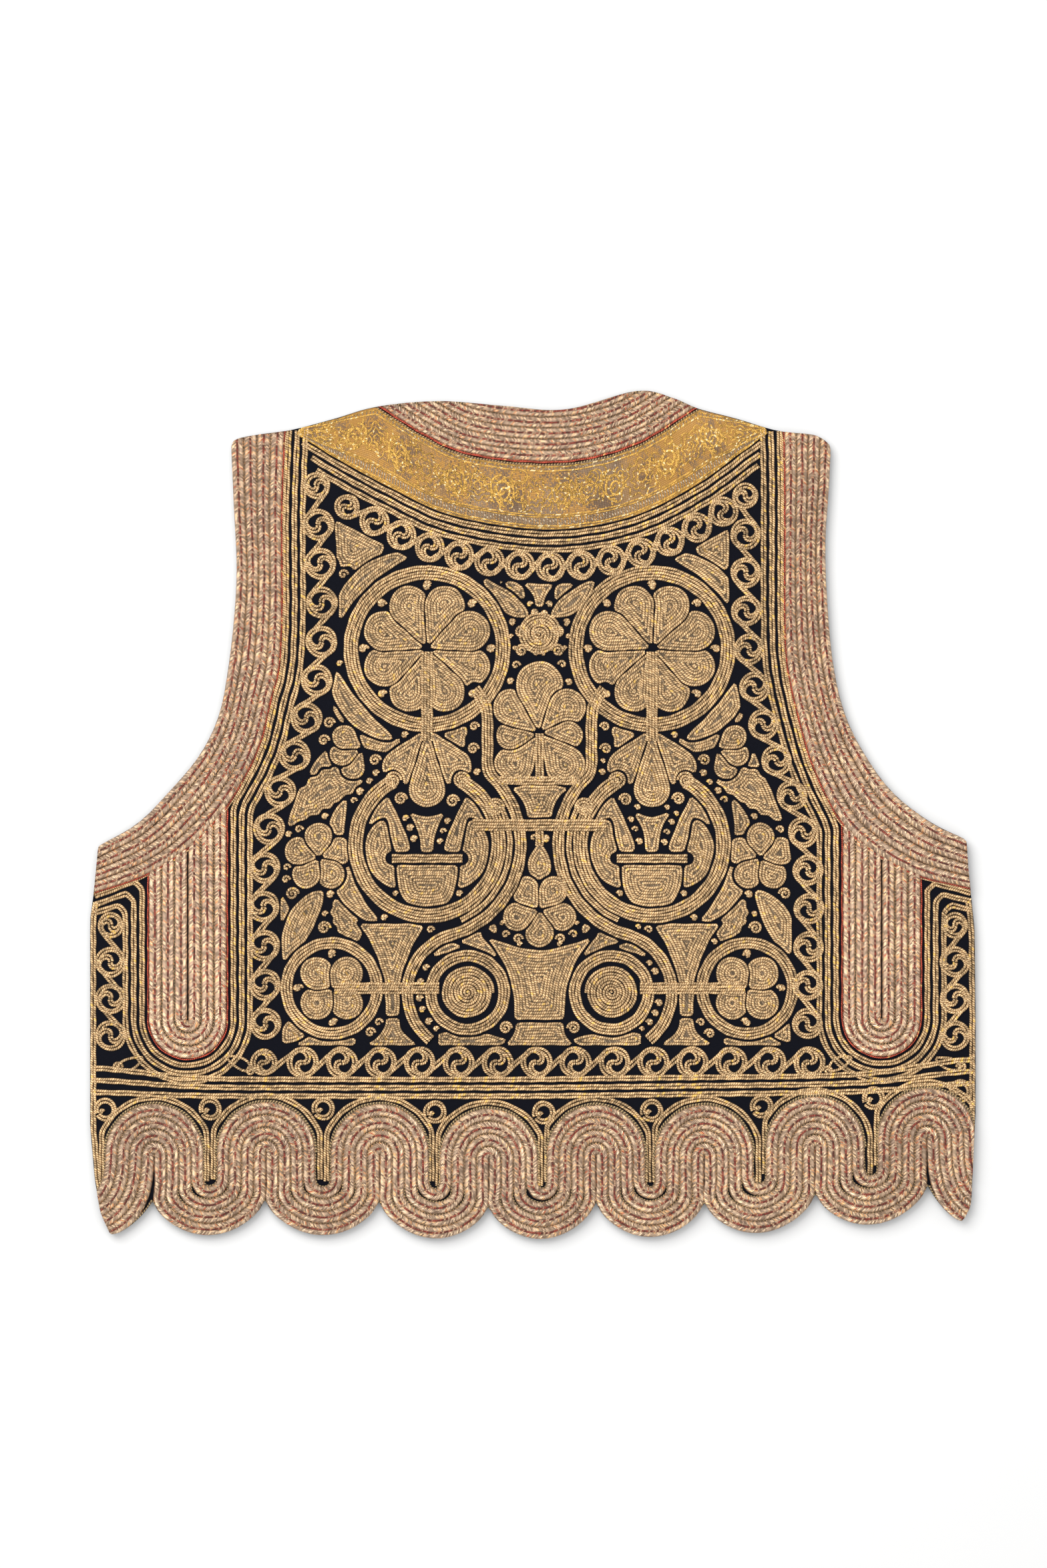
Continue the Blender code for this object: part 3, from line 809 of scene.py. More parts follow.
def fill(thread, polygon, gap=1.0, pitch=1.56):
    """Rows of cord laid inside an outline, each beside the last, clear of what already lies there."""
    shape = np.asarray(polygon, dtype=float)
    own, room, xs, ys = thread.ground.take(shape)
    cell = thread.ground.cell
    field = np.minimum(own, room - gap)
    if thread.across:
        thread.across.take(mirrored(shape))
    if field.size == 0 or field.max() < pitch * 0.5:
        return
    thread.pad(field[::2, ::2], xs[0], ys[0], 2 * cell, GROUND_LOOK)
    level = pitch * 0.5
    while level < field.max():
        for loop in contours(field, xs[0], ys[0], cell, level):
            path = closed_path(soften(loop))
            if lengths(path)[-1] > 1.6:
                thread.cord(path, step=1.25)
        level += pitch


def petal(x, y, angle, length, radius, step=14):
    """Teardrop from a point to a round end."""
    a = math.radians(angle)
    d = length - radius
    half = math.asin(min(0.98, radius / max(d, radius * 1.02)))
    arc = np.linspace(-(math.pi / 2 + half), math.pi / 2 + half, step * 2)
    cx, cy = x + d * math.cos(a), y + d * math.sin(a)
    rim = np.column_stack([cx + radius * np.cos(a + arc), cy + radius * np.sin(a + arc)])
    return resample(closed_path(np.vstack([[(x, y)], rim])), 1.5)[:-1]


def band(thread, path, count, lift=0.0, step=1.5, tone=None):
    """Cords side by side along a path."""
    base = resample(np.asarray(path, dtype=float), 1.0)
    for k in range(count):
        thread.cord(shift(base, (k - (count - 1) / 2) * CORD), lift=lift, step=step, tone=tone)


def coil(thread, x, y, radius, lift=0.0):
    """Disc of one coiled cord."""
    turns = max(1.0, (radius - CORD * 0.5) / CORD)
    t = spread(int(turns * 22))
    r = (radius - CORD * 0.5) * (1 - t) + 0.25
    a = 2 * math.pi * turns * t
    path = np.column_stack([x + r * np.cos(a), y + r * np.sin(a)])
    thread.cord(path, lift=lift, step=1.1)


def knot(thread, x, y, radius):
    """Small raised bead of coiled cord."""
    t = spread(13)
    r = radius * 0.55 * (1 - t) + 0.12
    a = 2 * math.pi * 1.4 * t
    path = np.column_stack([x + r * np.cos(a), y + r * np.sin(a)])
    thread.cord(path, width=radius * 1.1, rise=CORD_HEIGHT * 1.05, lift=0.25, step=0.7)


def pair(thread, path, lift=0.0):
    """Double cord."""
    band(thread, path, 2, lift)


def scroll(thread, frames, radius, flip=1.0):
    """Running scroll: rings of double cord, each hooked into its own middle, joined one to the next."""
    arm = []
    for share in spread(30):
        angle = math.radians(120.0 - 335.0 * share)
        r = radius * (1.0 - max(0.0, share - 0.58) / 0.42) + 0.3
        arm.append((r * math.cos(angle), flip * r * math.sin(angle)))
    arm = np.array(arm)
    for index, (centre, tangent) in enumerate(frames):
        size = 1.0 if index else FIRST_RING
        place = (arm[:, :1] * tangent + arm[:, 1:] * leftward(tangent)) * size
        incoming = centre + place
        outgoing = centre - place
        band(thread, smooth(resample(incoming, 2.4), 4), 2, lift=0.05, step=1.3)
        tail = outgoing[::-1]
        if index + 1 < len(frames):
            after, heading = frames[index + 1]
            start = after + arm[0, 0] * heading + arm[0, 1] * leftward(heading)
            tail = np.vstack([tail, 0.5 * (tail[-1] + start), start])
        band(thread, smooth(resample(tail, 2.6), 4), 2, lift=0.0, step=1.3)


def frames_on(points, pitch):
    """Centres and directions at an even pitch along a smooth line."""
    path = smooth(points)
    total = lengths(path)[-1]
    count = int(round(total / pitch)) + 1
    centres = along(path, spread(count))
    tangents = np.gradient(centres, axis=0)
    tangents /= np.linalg.norm(tangents, axis=1)[:, None]
    return list(zip(centres, tangents))


def braid(thread, path, width, lift=0.15, scale=None, material=BRAID_LOOK):
    """Flat plait of two ribs with a twisted line down the middle."""
    path = np.asarray(path, dtype=float)
    if scale is None:
        path = resample(path, 1.4)
    w = width * 0.5
    shape = np.array([-1.0, -0.93, -0.72, -0.46, -0.18, 0.0, 0.18, 0.46, 0.72, 0.93, 1.0])
    rise = np.array([-0.1, 0.45, 0.86, 1.0, 0.86, 0.70, 0.86, 1.0, 0.86, 0.45, -0.1])
    thread.sweep(path, -w * shape, BRAID_HEIGHT * rise, material, lift, scale=scale)
    thread.cord(path, 1.35, 0.62, lift + BRAID_HEIGHT * 0.70, 1.4, SPINE_LOOK)


def seam(thread, path, material, width=0.8, rise=0.8, lift=0.5):
    thread.cord(path, width, rise, lift, 1.4, material)


def pieces_of(path, keep, least=5):
    """Runs of a path that pass a test."""
    runs, start = [], None
    for i, good in enumerate(list(keep) + [False]):
        if good and start is None:
            start = i
        if not good and start is not None:
            runs.append((start, i))
            start = None
    return [path[a:b] for a, b in runs if b - a >= least]


# ---------------------------------------------------------------- panels
def build_back():
    """Felt back from edge to edge, trimmed to the cut."""
    shares = spread(len(HEM))
    rows = 0.5 - 0.5 * np.cos(np.pi * spread(BACK_ROWS))
    grid = coons(HEM, along(TOP, shares), along(LEFT, rows), along(RIGHT, rows), rows)
    grid = height.trimmed(grid.reshape(-1, 2), 0.25).reshape(grid.shape)
    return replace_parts(grid_sheet("back_felt", draped(grid), WALL, FELT_LOOK), "back_panel")


def build_front(name, node, sign, side, armhole, sliver, side_hem):
    """Plain front under one half of the back, its neckline cut away from the middle."""
    rows = spread(FRONT_ROWS)
    outer = along(side_curve(side, armhole), rows)
    low = np.clip((outer[:, 1] - FRONT_HEM) / (armhole[0][1] - FRONT_HEM), 0.0, 1.0)
    outer = outer + normals(outer) * FRONT_INSET * sign
    outer[:, 0] += sign * sliver * np.sin(np.pi * low) ** 2 * (low < 1.0)
    outer[0, 1] = side_hem
    outer[1:, 1] = np.maximum(outer[1:, 1], side_hem + 0.3 * np.arange(1, FRONT_ROWS))
    outer[-1, 1] -= FRONT_INSET
    rise = FRONT_HEM + (outer[-1, 1] + 8.0 - FRONT_HEM) * rows
    flare = np.clip((rise - FRONT_NECK_FOOT) / (rise[-1] - FRONT_NECK_FOOT), 0.0, 1.0) ** 1.6
    inner = np.column_stack([sign * (FRONT_CENTRE_GAP + FRONT_NECK_HALF * flare), rise])
    t = spread(31)[:, None]
    lower = outer[0] * (1 - t) + inner[0] * t
    upper = outer[-1] * (1 - t) + inner[-1] * t
    grid = coons(lower, upper, outer, inner, rows)
    if sign > 0:
        grid = grid[:, ::-1]
    flat = np.dstack([grid, np.full(grid.shape[:2], WALL)])
    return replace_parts(grid_sheet(name, flat, WALL, FRONT_LOOK), node)


def yoke_edges():
    """Lower and upper edge of the yoke."""
    lower = smooth(YOKE_LOWER)
    first, last = YOKE_LOWER[0][0], YOKE_LOWER[-1][0]
    left = TOP[(TOP[:, 0] > first) & (TOP[:, 0] < NECK_LOWER[0][0])]
    right = TOP[(TOP[:, 0] > NECK_LOWER[-1][0]) & (TOP[:, 0] < last)]
    upper = np.vstack([left, smooth(NECK_LOWER), right]) - (0.0, 0.6)
    return lower, upper


def yoke_point(s, t):
    """Point at share s along the yoke and share t up it."""
    lower, upper = YOKE_EDGES
    return along(lower, s) * (1 - t)[:, None] + along(upper, s) * t[:, None]


YOKE_EDGES = yoke_edges()


def build_yoke():
    s = np.linspace(0.01, 0.99, 150)
    rows = [yoke_point(s, np.full(len(s), t)) for t in spread(YOKE_ROWS)]
    grid = np.stack(rows)
    across = np.repeat(np.linspace(0.0, YOKE_WIDTH, YOKE_ROWS)[:, None], len(s), axis=1)
    uv = np.dstack([np.repeat((s * YOKE_RUN)[None], YOKE_ROWS, axis=0), across])
    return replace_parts(grid_sheet("yoke_cloth", draped(grid, 0.65), 0.6, BROCADE_LOOK, uv), "yoke_brocade")


def silk_line(thread, s, t, width=0.9):
    """Flat silk stitch line on the yoke."""
    points = yoke_point(np.clip(np.asarray(s), 0.012, 0.988), np.clip(np.asarray(t), 0.015, 0.985))
    thread.cord(points, width * 1.35, 0.42, 0.66, 0.9, SILK_LOOK, sides=4)


# All as shares along the yoke and up it. Long lines: how far up
YOKE_STRIPES = (0.02, 0.055, 0.19, 0.225, 0.90, 0.96)
# Creases: along and up at the top, along and up at the foot
YOKE_CREASES = [(0.395, 0.985, 0.375, 0.12), (0.585, 0.97, 0.59, 0.60)]
# Rows of short bars: foot, top, how many
YOKE_BARS = [(0.075, 0.17, 170), (0.915, 0.95, 130)]
# Kinds of flower head: how far up, half width in mm, lobes, turn of its scrolls
FLOWER_HEADS = [(0.52, 9.5, 8, -math.pi / 2), (0.57, 7.5, 6, math.pi / 2)]


def build_yoke_figure():
    thread = Thread("yoke_figure")
    s = np.linspace(0.012, 0.988, 200)
    for t in YOKE_STRIPES:
        silk_line(thread, s, np.full(len(s), t), 0.7)
    for sx, tx, ex, ty in YOKE_CREASES:
        points = yoke_point(np.linspace(sx, ex, 12), np.linspace(tx, ty, 12))
        thread.cord(points, 0.8, 0.30, 0.66, 1.2, EDGE_LOOK, sides=4)
    for low, high, count in YOKE_BARS:
        for at in np.linspace(0.02, 0.98, count):
            points = yoke_point(np.array([at, at]), np.array([low, high]))
            thread.cord(points, 0.75, 0.42, 0.66, 1.5, BAR_LOOK, sides=4)
    # flower heads along the crescent, each between two scrolls with short barbs
    for index, at in enumerate(np.linspace(0.07, 0.93, 9)):
        middle, wide, petals, first = FLOWER_HEADS[index % 2]
        for ring in (1.0, 0.62, 0.3):
            a = np.linspace(0.0, 2 * math.pi, 50)
            lobes = ring * (1 + 0.16 * np.cos(petals * a + index))
            run = at + lobes * np.cos(a) * wide / YOKE_RUN
            rise = middle + lobes * np.sin(a) * wide / YOKE_RISE * 0.85
            silk_line(thread, run, rise, 0.8)
        for side in (-1, 1):
            a = np.linspace(0.0, 2 * math.pi * 1.7, 60)
            r = 6.2 * (1 - 0.8 * a / a[-1]) + 0.6
            turn = side * a + first
            off = at + side * (wide + 6.0) / YOKE_RUN
            silk_line(thread, off + r * np.cos(turn) / YOKE_RUN, middle + r * np.sin(turn) / YOKE_RISE, 1.05)
            for k in range(5, 40, 5):
                b = np.linspace(1.1, 1.55, 6)
                silk_line(thread, off + r[k] * b * np.cos(turn[k] + 0.4 * b) / YOKE_RUN,
                          middle + r[k] * b * np.sin(turn[k] + 0.4 * b) / YOKE_RISE, 0.9)
    # loose curls between them
    for index in range(96):
        at, up = RNG.uniform(0.04, 0.96), RNG.uniform(0.27, 0.86)
        a = np.linspace(0.0, RNG.uniform(2.5, 5.5), 22)
        r = RNG.uniform(1.4, 4.2) * (1 - 0.09 * a)
        silk_line(thread, at + r * np.cos(a + index) / YOKE_RUN, up + r * np.sin(a + index) / YOKE_RISE, 0.7)
    return thread.build()


# ---------------------------------------------------------------- plaited bands
def between(outer, inner, share, count=160):
    """Path part of the way from one line to another."""
    shares = spread(count)
    a, b = along(outer, shares), along(inner, shares)
    return a * (1 - share) + b * share


def extended(path, reach):
    """Path carried straight on past both ends."""
    first = path[0] - path[1]
    last = path[-1] - path[-2]
    head = path[0] + first / np.linalg.norm(first) * reach
    tail = path[-1] + last / np.linalg.norm(last) * reach
    return np.vstack([head, path, tail])


def gap_to(points, curve):
    """Distance of each point to a curve."""
    return np.sqrt(((points[:, None, :] - curve[None]) ** 2).sum(axis=2)).min(axis=1)


def stand_off(path, curve, wanted):
    """Path moved so that each point stands a wanted distance off a curve."""
    near = curve[((path[:, None, :] - curve[None]) ** 2).sum(axis=2).argmin(axis=1)]
    away = path - near
    away /= np.maximum(np.linalg.norm(away, axis=1)[:, None], 1e-6)
    out = near + away * wanted[:, None]
    out[1:-1] = 0.25 * out[:-2] + 0.5 * out[1:-1] + 0.25 * out[2:]
    return out


def build_armhole(name, node, outer_points, inner_points, sign):
    thread = Thread(name)
    outer = resample(extended(smooth(outer_points), 4.0), 1.5)
    inner = resample(extended(smooth(inner_points), 4.0), 1.5)
    for k in range(ARMHOLE_BRAIDS):
        path = resample(between(outer, inner, (k + 0.5) / ARMHOLE_BRAIDS), 1.4)
        local = gap_to(path, outer) + gap_to(path, inner)
        path = stand_off(path, outer, local * (k + 0.5) / ARMHOLE_BRAIDS)
        braid(thread, path, 1.0, 0.75, scale=local / ARMHOLE_BRAIDS * 1.03)
        if k + 1 < ARMHOLE_BRAIDS:
            seam(thread, between(outer, inner, (k + 1.0) / ARMHOLE_BRAIDS), EDGE_LOOK, 0.6, 0.6, 1.1)
    seam(thread, shift(inner, sign * 0.2), RED_LOOK, 1.0, 1.2, 0.6)
    seam(thread, shift(inner, sign * 1.0), CORD_LOOK, 0.9, 0.9, 0.4)
    seam(thread, shift(outer, sign * 0.6), EDGE_LOOK, 1.2, 1.2, 0.2)
    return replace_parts(thread.build(), node)


def build_neck():
    thread = Thread("neck_braids")
    lower = smooth(NECK_LOWER)
    for k in range(NECK_BRAIDS):
        path = resample(shift(lower, 1.0 + (k + 0.5) * NECK_BRAID), 1.2)
        for run in pieces_of(path, height.inside(path) > -2.4):
            braid(thread, run, NECK_BRAID * 1.02)
            seam(thread, shift(run, -NECK_BRAID * 0.5), EDGE_LOOK, 0.6, 0.6, 0.45)
    rim = TOP[(TOP[:, 0] > NECK_LOWER[0][0]) & (TOP[:, 0] < NECK_LOWER[-1][0])]
    seam(thread, shift(rim, -0.8), EDGE_LOOK, 1.3, 1.3, 0.6)
    seam(thread, shift(lower, 0.6), RED_LOOK, 1.2, 1.2, 0.4)
    seam(thread, shift(lower, -0.7), EDGE_LOOK, 1.0, 0.7, 0.5)
    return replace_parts(thread.build(), "neck_band")


def meander_stops():
    """Middles of the arches, over the notches, and of the valleys, over the scallops."""
    arches = [(x + 1.0 - 0.004 * (x + 205.0), y + ARCH_RISE) for x, y in NOTCHES]
    (first_x, first_y), (last_x, last_y) = NOTCHES[0], NOTCHES[-1]
    stops = [(first_x - SCALLOP_WIDTH, first_y)] + NOTCHES + [(last_x + SCALLOP_WIDTH, last_y + 3.0)]
    valleys = [
        ((x0 + x1) / 2 + 0.8, (y0 + y1) / 2 + VALLEY_RISE)
        for (x0, y0), (x1, y1) in zip(stops[:-1], stops[1:])
    ]
    return arches, valleys


def quarter(centre, across, up, start, end, count=16):
    """Arc of an ellipse, in degrees."""
    a = np.radians(np.linspace(start, end, count))
    return np.column_stack([centre[0] + across * np.cos(a), centre[1] + up * np.sin(a)])


def down_to_hem(path, depth, weight):
    """Path drawn toward a fixed depth inside the scalloped edge, by a weight from 0 to 1."""
    out = path.copy()
    for _ in range(3):
        out += height.uphill(out) * (np.clip(depth - height.inside(out), -4.0, 4.0) * weight)[:, None]
    return out


def end_run(centre, depth, notch, corner, side):
    """Last leg of a hem braid: down from the end arch, then out to the side edge beside the last scallop."""
    notch, corner = np.array(notch), np.array(corner)
    along_edge = (corner - notch) / np.linalg.norm(corner - notch)
    inward = side * leftward(along_edge)
    start = np.array([centre[0] + side * depth, centre[1]])
    end = corner + along_edge * 6.0 + inward * depth
    reach = 0.42 * np.linalg.norm(end - start)
    t = spread(24)[:, None]
    first, last = start - (0.0, reach), end - along_edge * reach - inward * END_BULGE
    return start * (1 - t) ** 3 + 3 * first * t * (1 - t) ** 2 + 3 * last * t ** 2 * (1 - t) + end * t ** 3


def meander(offset):
    """Path of one braid of the hem, offset outward from the middle of the band over each arch."""
    arches, valleys = meander_stops()
    depth = HEM_BAND / 2 + offset
    parts = [end_run(arches[0], depth, NOTCHES[0], LEFT_SIDE[0], -1)[::-1]]
    for index, centre in enumerate(arches):
        parts.append(quarter(centre, depth, depth * 1.03, 180.0, 0.0, 31))
        if index + 1 == len(arches):
            break
        vx, vy = valleys[index + 1]
        left, right = vx - centre[0], arches[index + 1][0] - vx
        up = (left + right) / 2 - depth
        first = quarter((vx, vy), left - depth, up, 180.0, 270.0)
        last = quarter((vx, vy), right - depth, up, 270.0, 360.0)[1:]
        low = np.vstack([first, last])
        weight = np.clip((vy - 3.0 - low[:, 1]) / 14.0, 0.0, 1.0)
        parts.append(down_to_hem(low, depth, weight))
    parts.append(end_run(arches[-1], depth, NOTCHES[-1], RIGHT_SIDE[0], 1))
    return np.vstack(parts)


def build_hem():
    thread = Thread("hem_braids")
    each = HEM_BAND / HEM_BRAIDS
    for k in range(HEM_BRAIDS):
        path = resample(meander((k - (HEM_BRAIDS - 1) / 2) * each), 1.2)
        for run in pieces_of(path, height.inside(path) > -1.5):
            braid(thread, run, each * 1.03)
            seam(thread, shift(run, each / 2), EDGE_LOOK, 0.75, 0.7, 0.45)
    seam(thread, shift(resample(HEM, 1.2), 0.7), EDGE_LOOK, 1.3, 1.3, 0.1)
    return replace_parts(thread.build(), "hem_band")


def tongue_path(middle, half, bottom, tops):
    """U from one top to the other."""
    y = bottom + half
    bend = circle(middle, y, half, 180.0, 180.0, 1.5)[1:-1]
    left, right = middle - half, middle + half
    return np.vstack([[(left, tops[0]), (left, y)], bend, [(right, y), (right, tops[1])]])


def band_height(inner, x):
    """Height of a band's inner edge over x."""
    order = np.argsort(inner[:, 0])
    return float(np.interp(x, inner[order, 0], inner[order, 1]))


def build_tongue(name, node, place, inner_points):
    thread = Thread(name)
    middle, bottom = place
    inner = smooth(inner_points)
    for k, half in enumerate(TONGUE_HALVES):
        low = bottom + (TONGUE_HALVES[0] - half)
        tops = [band_height(inner, middle + s * half) + 4.5 for s in (-1, 1)]
        path = tongue_path(middle, half, low, tops)
        braid(thread, path, TONGUE_BRAID, material=PALE_BRAID_LOOK)
        if k:
            outline = tongue_path(middle, half + TONGUE_SEAM, low - TONGUE_SEAM, tops)
            seam(thread, outline, EDGE_LOOK, 0.6, 0.6, 0.45)
    tops = [band_height(inner, middle + s * 21.6) + 2.0 for s in (-1, 1)]
    seam(thread, tongue_path(middle, TONGUE_RIM, bottom - 3.8, tops), RED_LOOK, 0.9, 0.9, 0.3)
    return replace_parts(thread.build(), node)


# ---------------------------------------------------------------- couched cord
def armhole_lines(thread, inner_points, sign, tongue):
    """Three pairs that edge the armhole band, drop round the tongue and leave along the side."""
    tongue_x, tongue_bottom = tongue
    inner = extended(smooth(inner_points), 5.0)
    for k in range(3):
        gap = 2.6 + LINE_PITCH * k
        rim = inner + normals(inner) * sign * gap
        half = TONGUE_LINES + LINE_PITCH * k
        outer_x = tongue_x + sign * half
        inner_x = tongue_x - sign * half
        y = tongue_bottom + TONGUE_HALVES[0]
        corner_y = band_height(inner, outer_x) - gap * 1.05
        side_y = band_height(inner, sign * 234.0) - gap - 1.0
        edge = [(sign * 238.0, side_y), (outer_x + sign * 4.0, corner_y), (outer_x, corner_y - 4.0)]
        drop = [(outer_x, y + 30.0), (outer_x, y)]
        start = 0.0 if sign > 0 else 180.0
        arc = circle(tongue_x, y, half, start, -sign * 180.0, 2.0)
        body = rim[(rim[:, 0] * sign < inner_x * sign - 1.0)]
        if len(body) and body[0][1] > body[-1][1]:
            body = body[::-1]
        climb = [(inner_x, y), (inner_x, y + 30.0), (inner_x, body[0][1] - 6.0)]
        path = resample(np.vstack([edge, drop, arc[1:-1], climb, body]), 2.0)
        for run in pieces_of(path, height.inside(path) > 0.1):
            pair(thread, run)


# Pairs under the yoke: x of the left end, x of the right end
YOKE_LINES = [(-124.5, 124.0), (-121.0, 124.0), (-118.0, 121.5)]
YOKE_LINE_GAP, YOKE_LINE_PITCH = 2.4, 4.3

# Pairs over the hem band: y in the middle, rise toward the sides
HEM_LINES = [(-142.6, 6.0), (-147.1, 4.0), (-151.6, 2.0)]


def yoke_lines(thread):
    """Pairs along the yoke's lower edge."""
    for k, (first, last) in enumerate(YOKE_LINES):
        path = shift(smooth(YOKE_LOWER), -(YOKE_LINE_GAP + YOKE_LINE_PITCH * k))
        pair(thread, path[(path[:, 0] > first) & (path[:, 0] < last)])


def hem_lines(thread):
    """Pairs across the back, over the hem band."""
    x = np.linspace(-238.0, 238.0, 60)
    for y, rise in HEM_LINES:
        lift_left = rise * np.exp(-((x + 240.0) / 42.0) ** 2)
        lift_right = (rise + 2.0) * np.exp(-((x - 240.0) / 42.0) ** 2)
        path = np.column_stack([x, y + lift_left + lift_right + 0.012 * np.maximum(x, 0.0)])
        band(thread, path[height.inside(path) > 0.8], 2, tone=0.75)


def arch_lines(thread):
    """Pairs over each arch of the hem band, meeting in narrow forks, with a curl in each gap."""
    arches, valleys = meander_stops()
    for index, (ax, ay) in enumerate(arches):
        left_half = ax - valleys[index][0]
        right_half = valleys[index + 1][0] - ax
        rim = quarter((ax, ay), HEM_BAND + 0.5, HEM_BAND * 1.03 + 0.5, 180.0, 0.0, 60)
        seam(thread, rim, EDGE_LOOK, 1.2, 1.1, 0.3)
        a = np.linspace(math.pi, 0.0, 60)
        x = np.clip(ARCH_LINE_RADIUS * np.cos(a), -left_half + 1.75, right_half - 1.75)
        arch = np.column_stack([ax + x, ay + ARCH_LINE_RADIUS * np.sin(a)])
        foot = ay - ARCH_LINE_DROP
        path = resample(np.vstack([[(arch[0][0], foot)], arch, [(arch[-1][0], foot)]]), 3.0)
        for run in pieces_of(smooth(path, 3), height.inside(smooth(path, 3)) > 1.2):
            pair(thread, run, lift=0.1 * (index % 2))
    for vx, vy in valleys:
        y = vy + CURL_RISE
        x = float(np.clip(vx, -CURL_REACH, CURL_REACH))
        path = circle(x, y, CURL_RADIUS, 215.0, 350.0, 1.5)
        for run in pieces_of(path, height.inside(path) > 0.6):
            pair(thread, smooth(run[::2], 3))
        knot(thread, x - 1.9, y - 1.0, 1.8)


# ---------------------------------------------------------------- scroll border and edging
LEFT_GUIDE = [(-116.5, 177.5), (-114.0, 92.0), (-125.0, 42.0), (-143.6, -16.0), (-144.2, -112.5)]
RIGHT_GUIDE = [(114.5, 172.0), (116.0, 96.0), (125.0, 46.0), (147.0, -16.0), (148.0, -112.5)]
PANEL_GUIDE = [(227.6, -59.5), (227.6, -119.0)]
PANEL_PITCH = 19.8
YOKE_TO_SCROLLS = 20.0
BOTTOM_ROW_Y = -133.4
SCROLL_PITCH = 20.4
YOKE_SCROLL_PITCH = 16.8


def build_border():
    thread = Thread("scroll_border")
    scroll(thread, frames_on(LEFT_GUIDE, SCROLL_PITCH), 6.9, -1.0)
    scroll(thread, frames_on(RIGHT_GUIDE, SCROLL_PITCH), 6.6, 1.0)
    scroll(thread, frames_on([(-x, y) for x, y in PANEL_GUIDE], PANEL_PITCH), 6.6, 1.0)
    scroll(thread, frames_on(PANEL_GUIDE, PANEL_PITCH), 6.6, -1.0)
    row = shift(smooth(YOKE_LOWER), -YOKE_TO_SCROLLS)
    scroll(thread, frames_on(row[np.abs(row[:, 0] - MIRROR_X) < 104.0][::4], YOKE_SCROLL_PITCH), 6.4)
    bottom = [(-145.0, BOTTOM_ROW_Y), (MIRROR_X, BOTTOM_ROW_Y), (149.0, BOTTOM_ROW_Y)]
    scroll(thread, frames_on(bottom, SCROLL_PITCH), 6.9)
    return thread.build()


def side_lines(thread):
    """A pair of cords down each side edge."""
    for edge, inward in ((LEFT, -1.0), (RIGHT, 1.0)):
        run = resample(edge, 1.5)
        for k in range(2):
            low = run[(run[:, 1] < SIDE_LINES_TOP) & (run[:, 1] > SIDE_LINES_FOOT)]
            thread.cord(shift(low, inward * (1.2 + 1.65 * k)))


def build_edging():
    thread = Thread("edging_cords")
    armhole_lines(thread, LEFT_BAND_INNER, -1, LEFT_TONGUE)
    armhole_lines(thread, RIGHT_BAND_INNER, 1, RIGHT_TONGUE)
    yoke_lines(thread)
    hem_lines(thread)
    side_lines(thread)
    arch_lines(thread)
    return thread.build()


# ---------------------------------------------------------------- the figured field
# Drawn from formulas: each shape is a leaf, petal, crescent, pot, vase or arc given by a few sizes.
UPPER, MIDDLE = (-57.0, 89.6), (-57.0, -15.8)
SIDE, LOWER = (-108.4, -93.4), (-35.2, -95.8)
STEM_X = -24.5
S_BAND_RADIUS = 50.5
SIDE_FLOWER, CALYX = (-115.5, -23.0), (-92.0, 36.0)
BEADS = 70
LOWER_TURN_RADIUS = math.dist(MIDDLE, LOWER) - S_BAND_RADIUS
TOUCH_ANGLE = math.degrees(math.atan2(LOWER[1] - MIDDLE[1], LOWER[0] - MIDDLE[0]))


class Across:
    """Lays what is drawn for the left half on the right half, across the middle line."""

    def __init__(self, thread, ground):
        self.thread, self.ground, self.across = thread, ground, None

    def cord(self, path, **look):
        self.thread.cord(mirrored(path)[::-1], **look)

    def pad(self, field, x0, y0, cell, material):
        reach = x0 + (field.shape[1] - 1) * cell
        self.thread.pad(field[:, ::-1], 2 * MIRROR_X - reach, y0, cell, material)


def arc(centre, radius, start, end, step=2.5):
    return circle(centre[0], centre[1], radius, start, end - start, step)


def around(rib, half):
    """Closed outline that stands a half width off each side of a rib."""
    n = normals(rib) * half[:, None]
    return resample(closed_path(np.vstack([rib + n, (rib - n)[::-1]])), 1.1)[:-1]


def leaf(x, y, angle, length, width, bend=0.0, peak=0.42, lobes=0):
    """Leaf on an evenly bent rib, pointed at both ends, fullest at its peak, with lobes along its edge."""
    t = spread(48)
    heading = np.radians(angle + bend * (t - 0.5))
    step = length / (len(t) - 1)
    rib = np.column_stack([x + np.cumsum(np.cos(heading)) * step, y + np.cumsum(np.sin(heading)) * step])
    half = 0.5 * width * np.sin(np.pi * t ** (math.log(0.5) / math.log(peak))) ** 0.85
    half = half * (1.0 + 0.10 * np.cos(2 * np.pi * lobes * t)) if lobes else half
    return around(rib, half)


def crescent(centre, inner, outer, start, end):
    """Leaf bent round a centre, between two radii."""
    rib = resample(arc(centre, (inner + outer) / 2, start, end), 1.5)
    t = spread(len(rib))
    return around(rib, 0.5 * (outer - inner) * np.sin(np.pi * t) ** 0.6)


def pot(x, top, width, height_mm, square=2.6):
    """Round-bottomed pot with a flat mouth."""
    a = np.linspace(math.pi, 2 * math.pi, 40)
    c, s = np.cos(a), np.sin(a)
    px = x + width / 2 * np.sign(c) * np.abs(c) ** (2 / square)
    py = top + height_mm * np.sign(s) * np.abs(s) ** (2 / square)
    return np.column_stack([px, py])


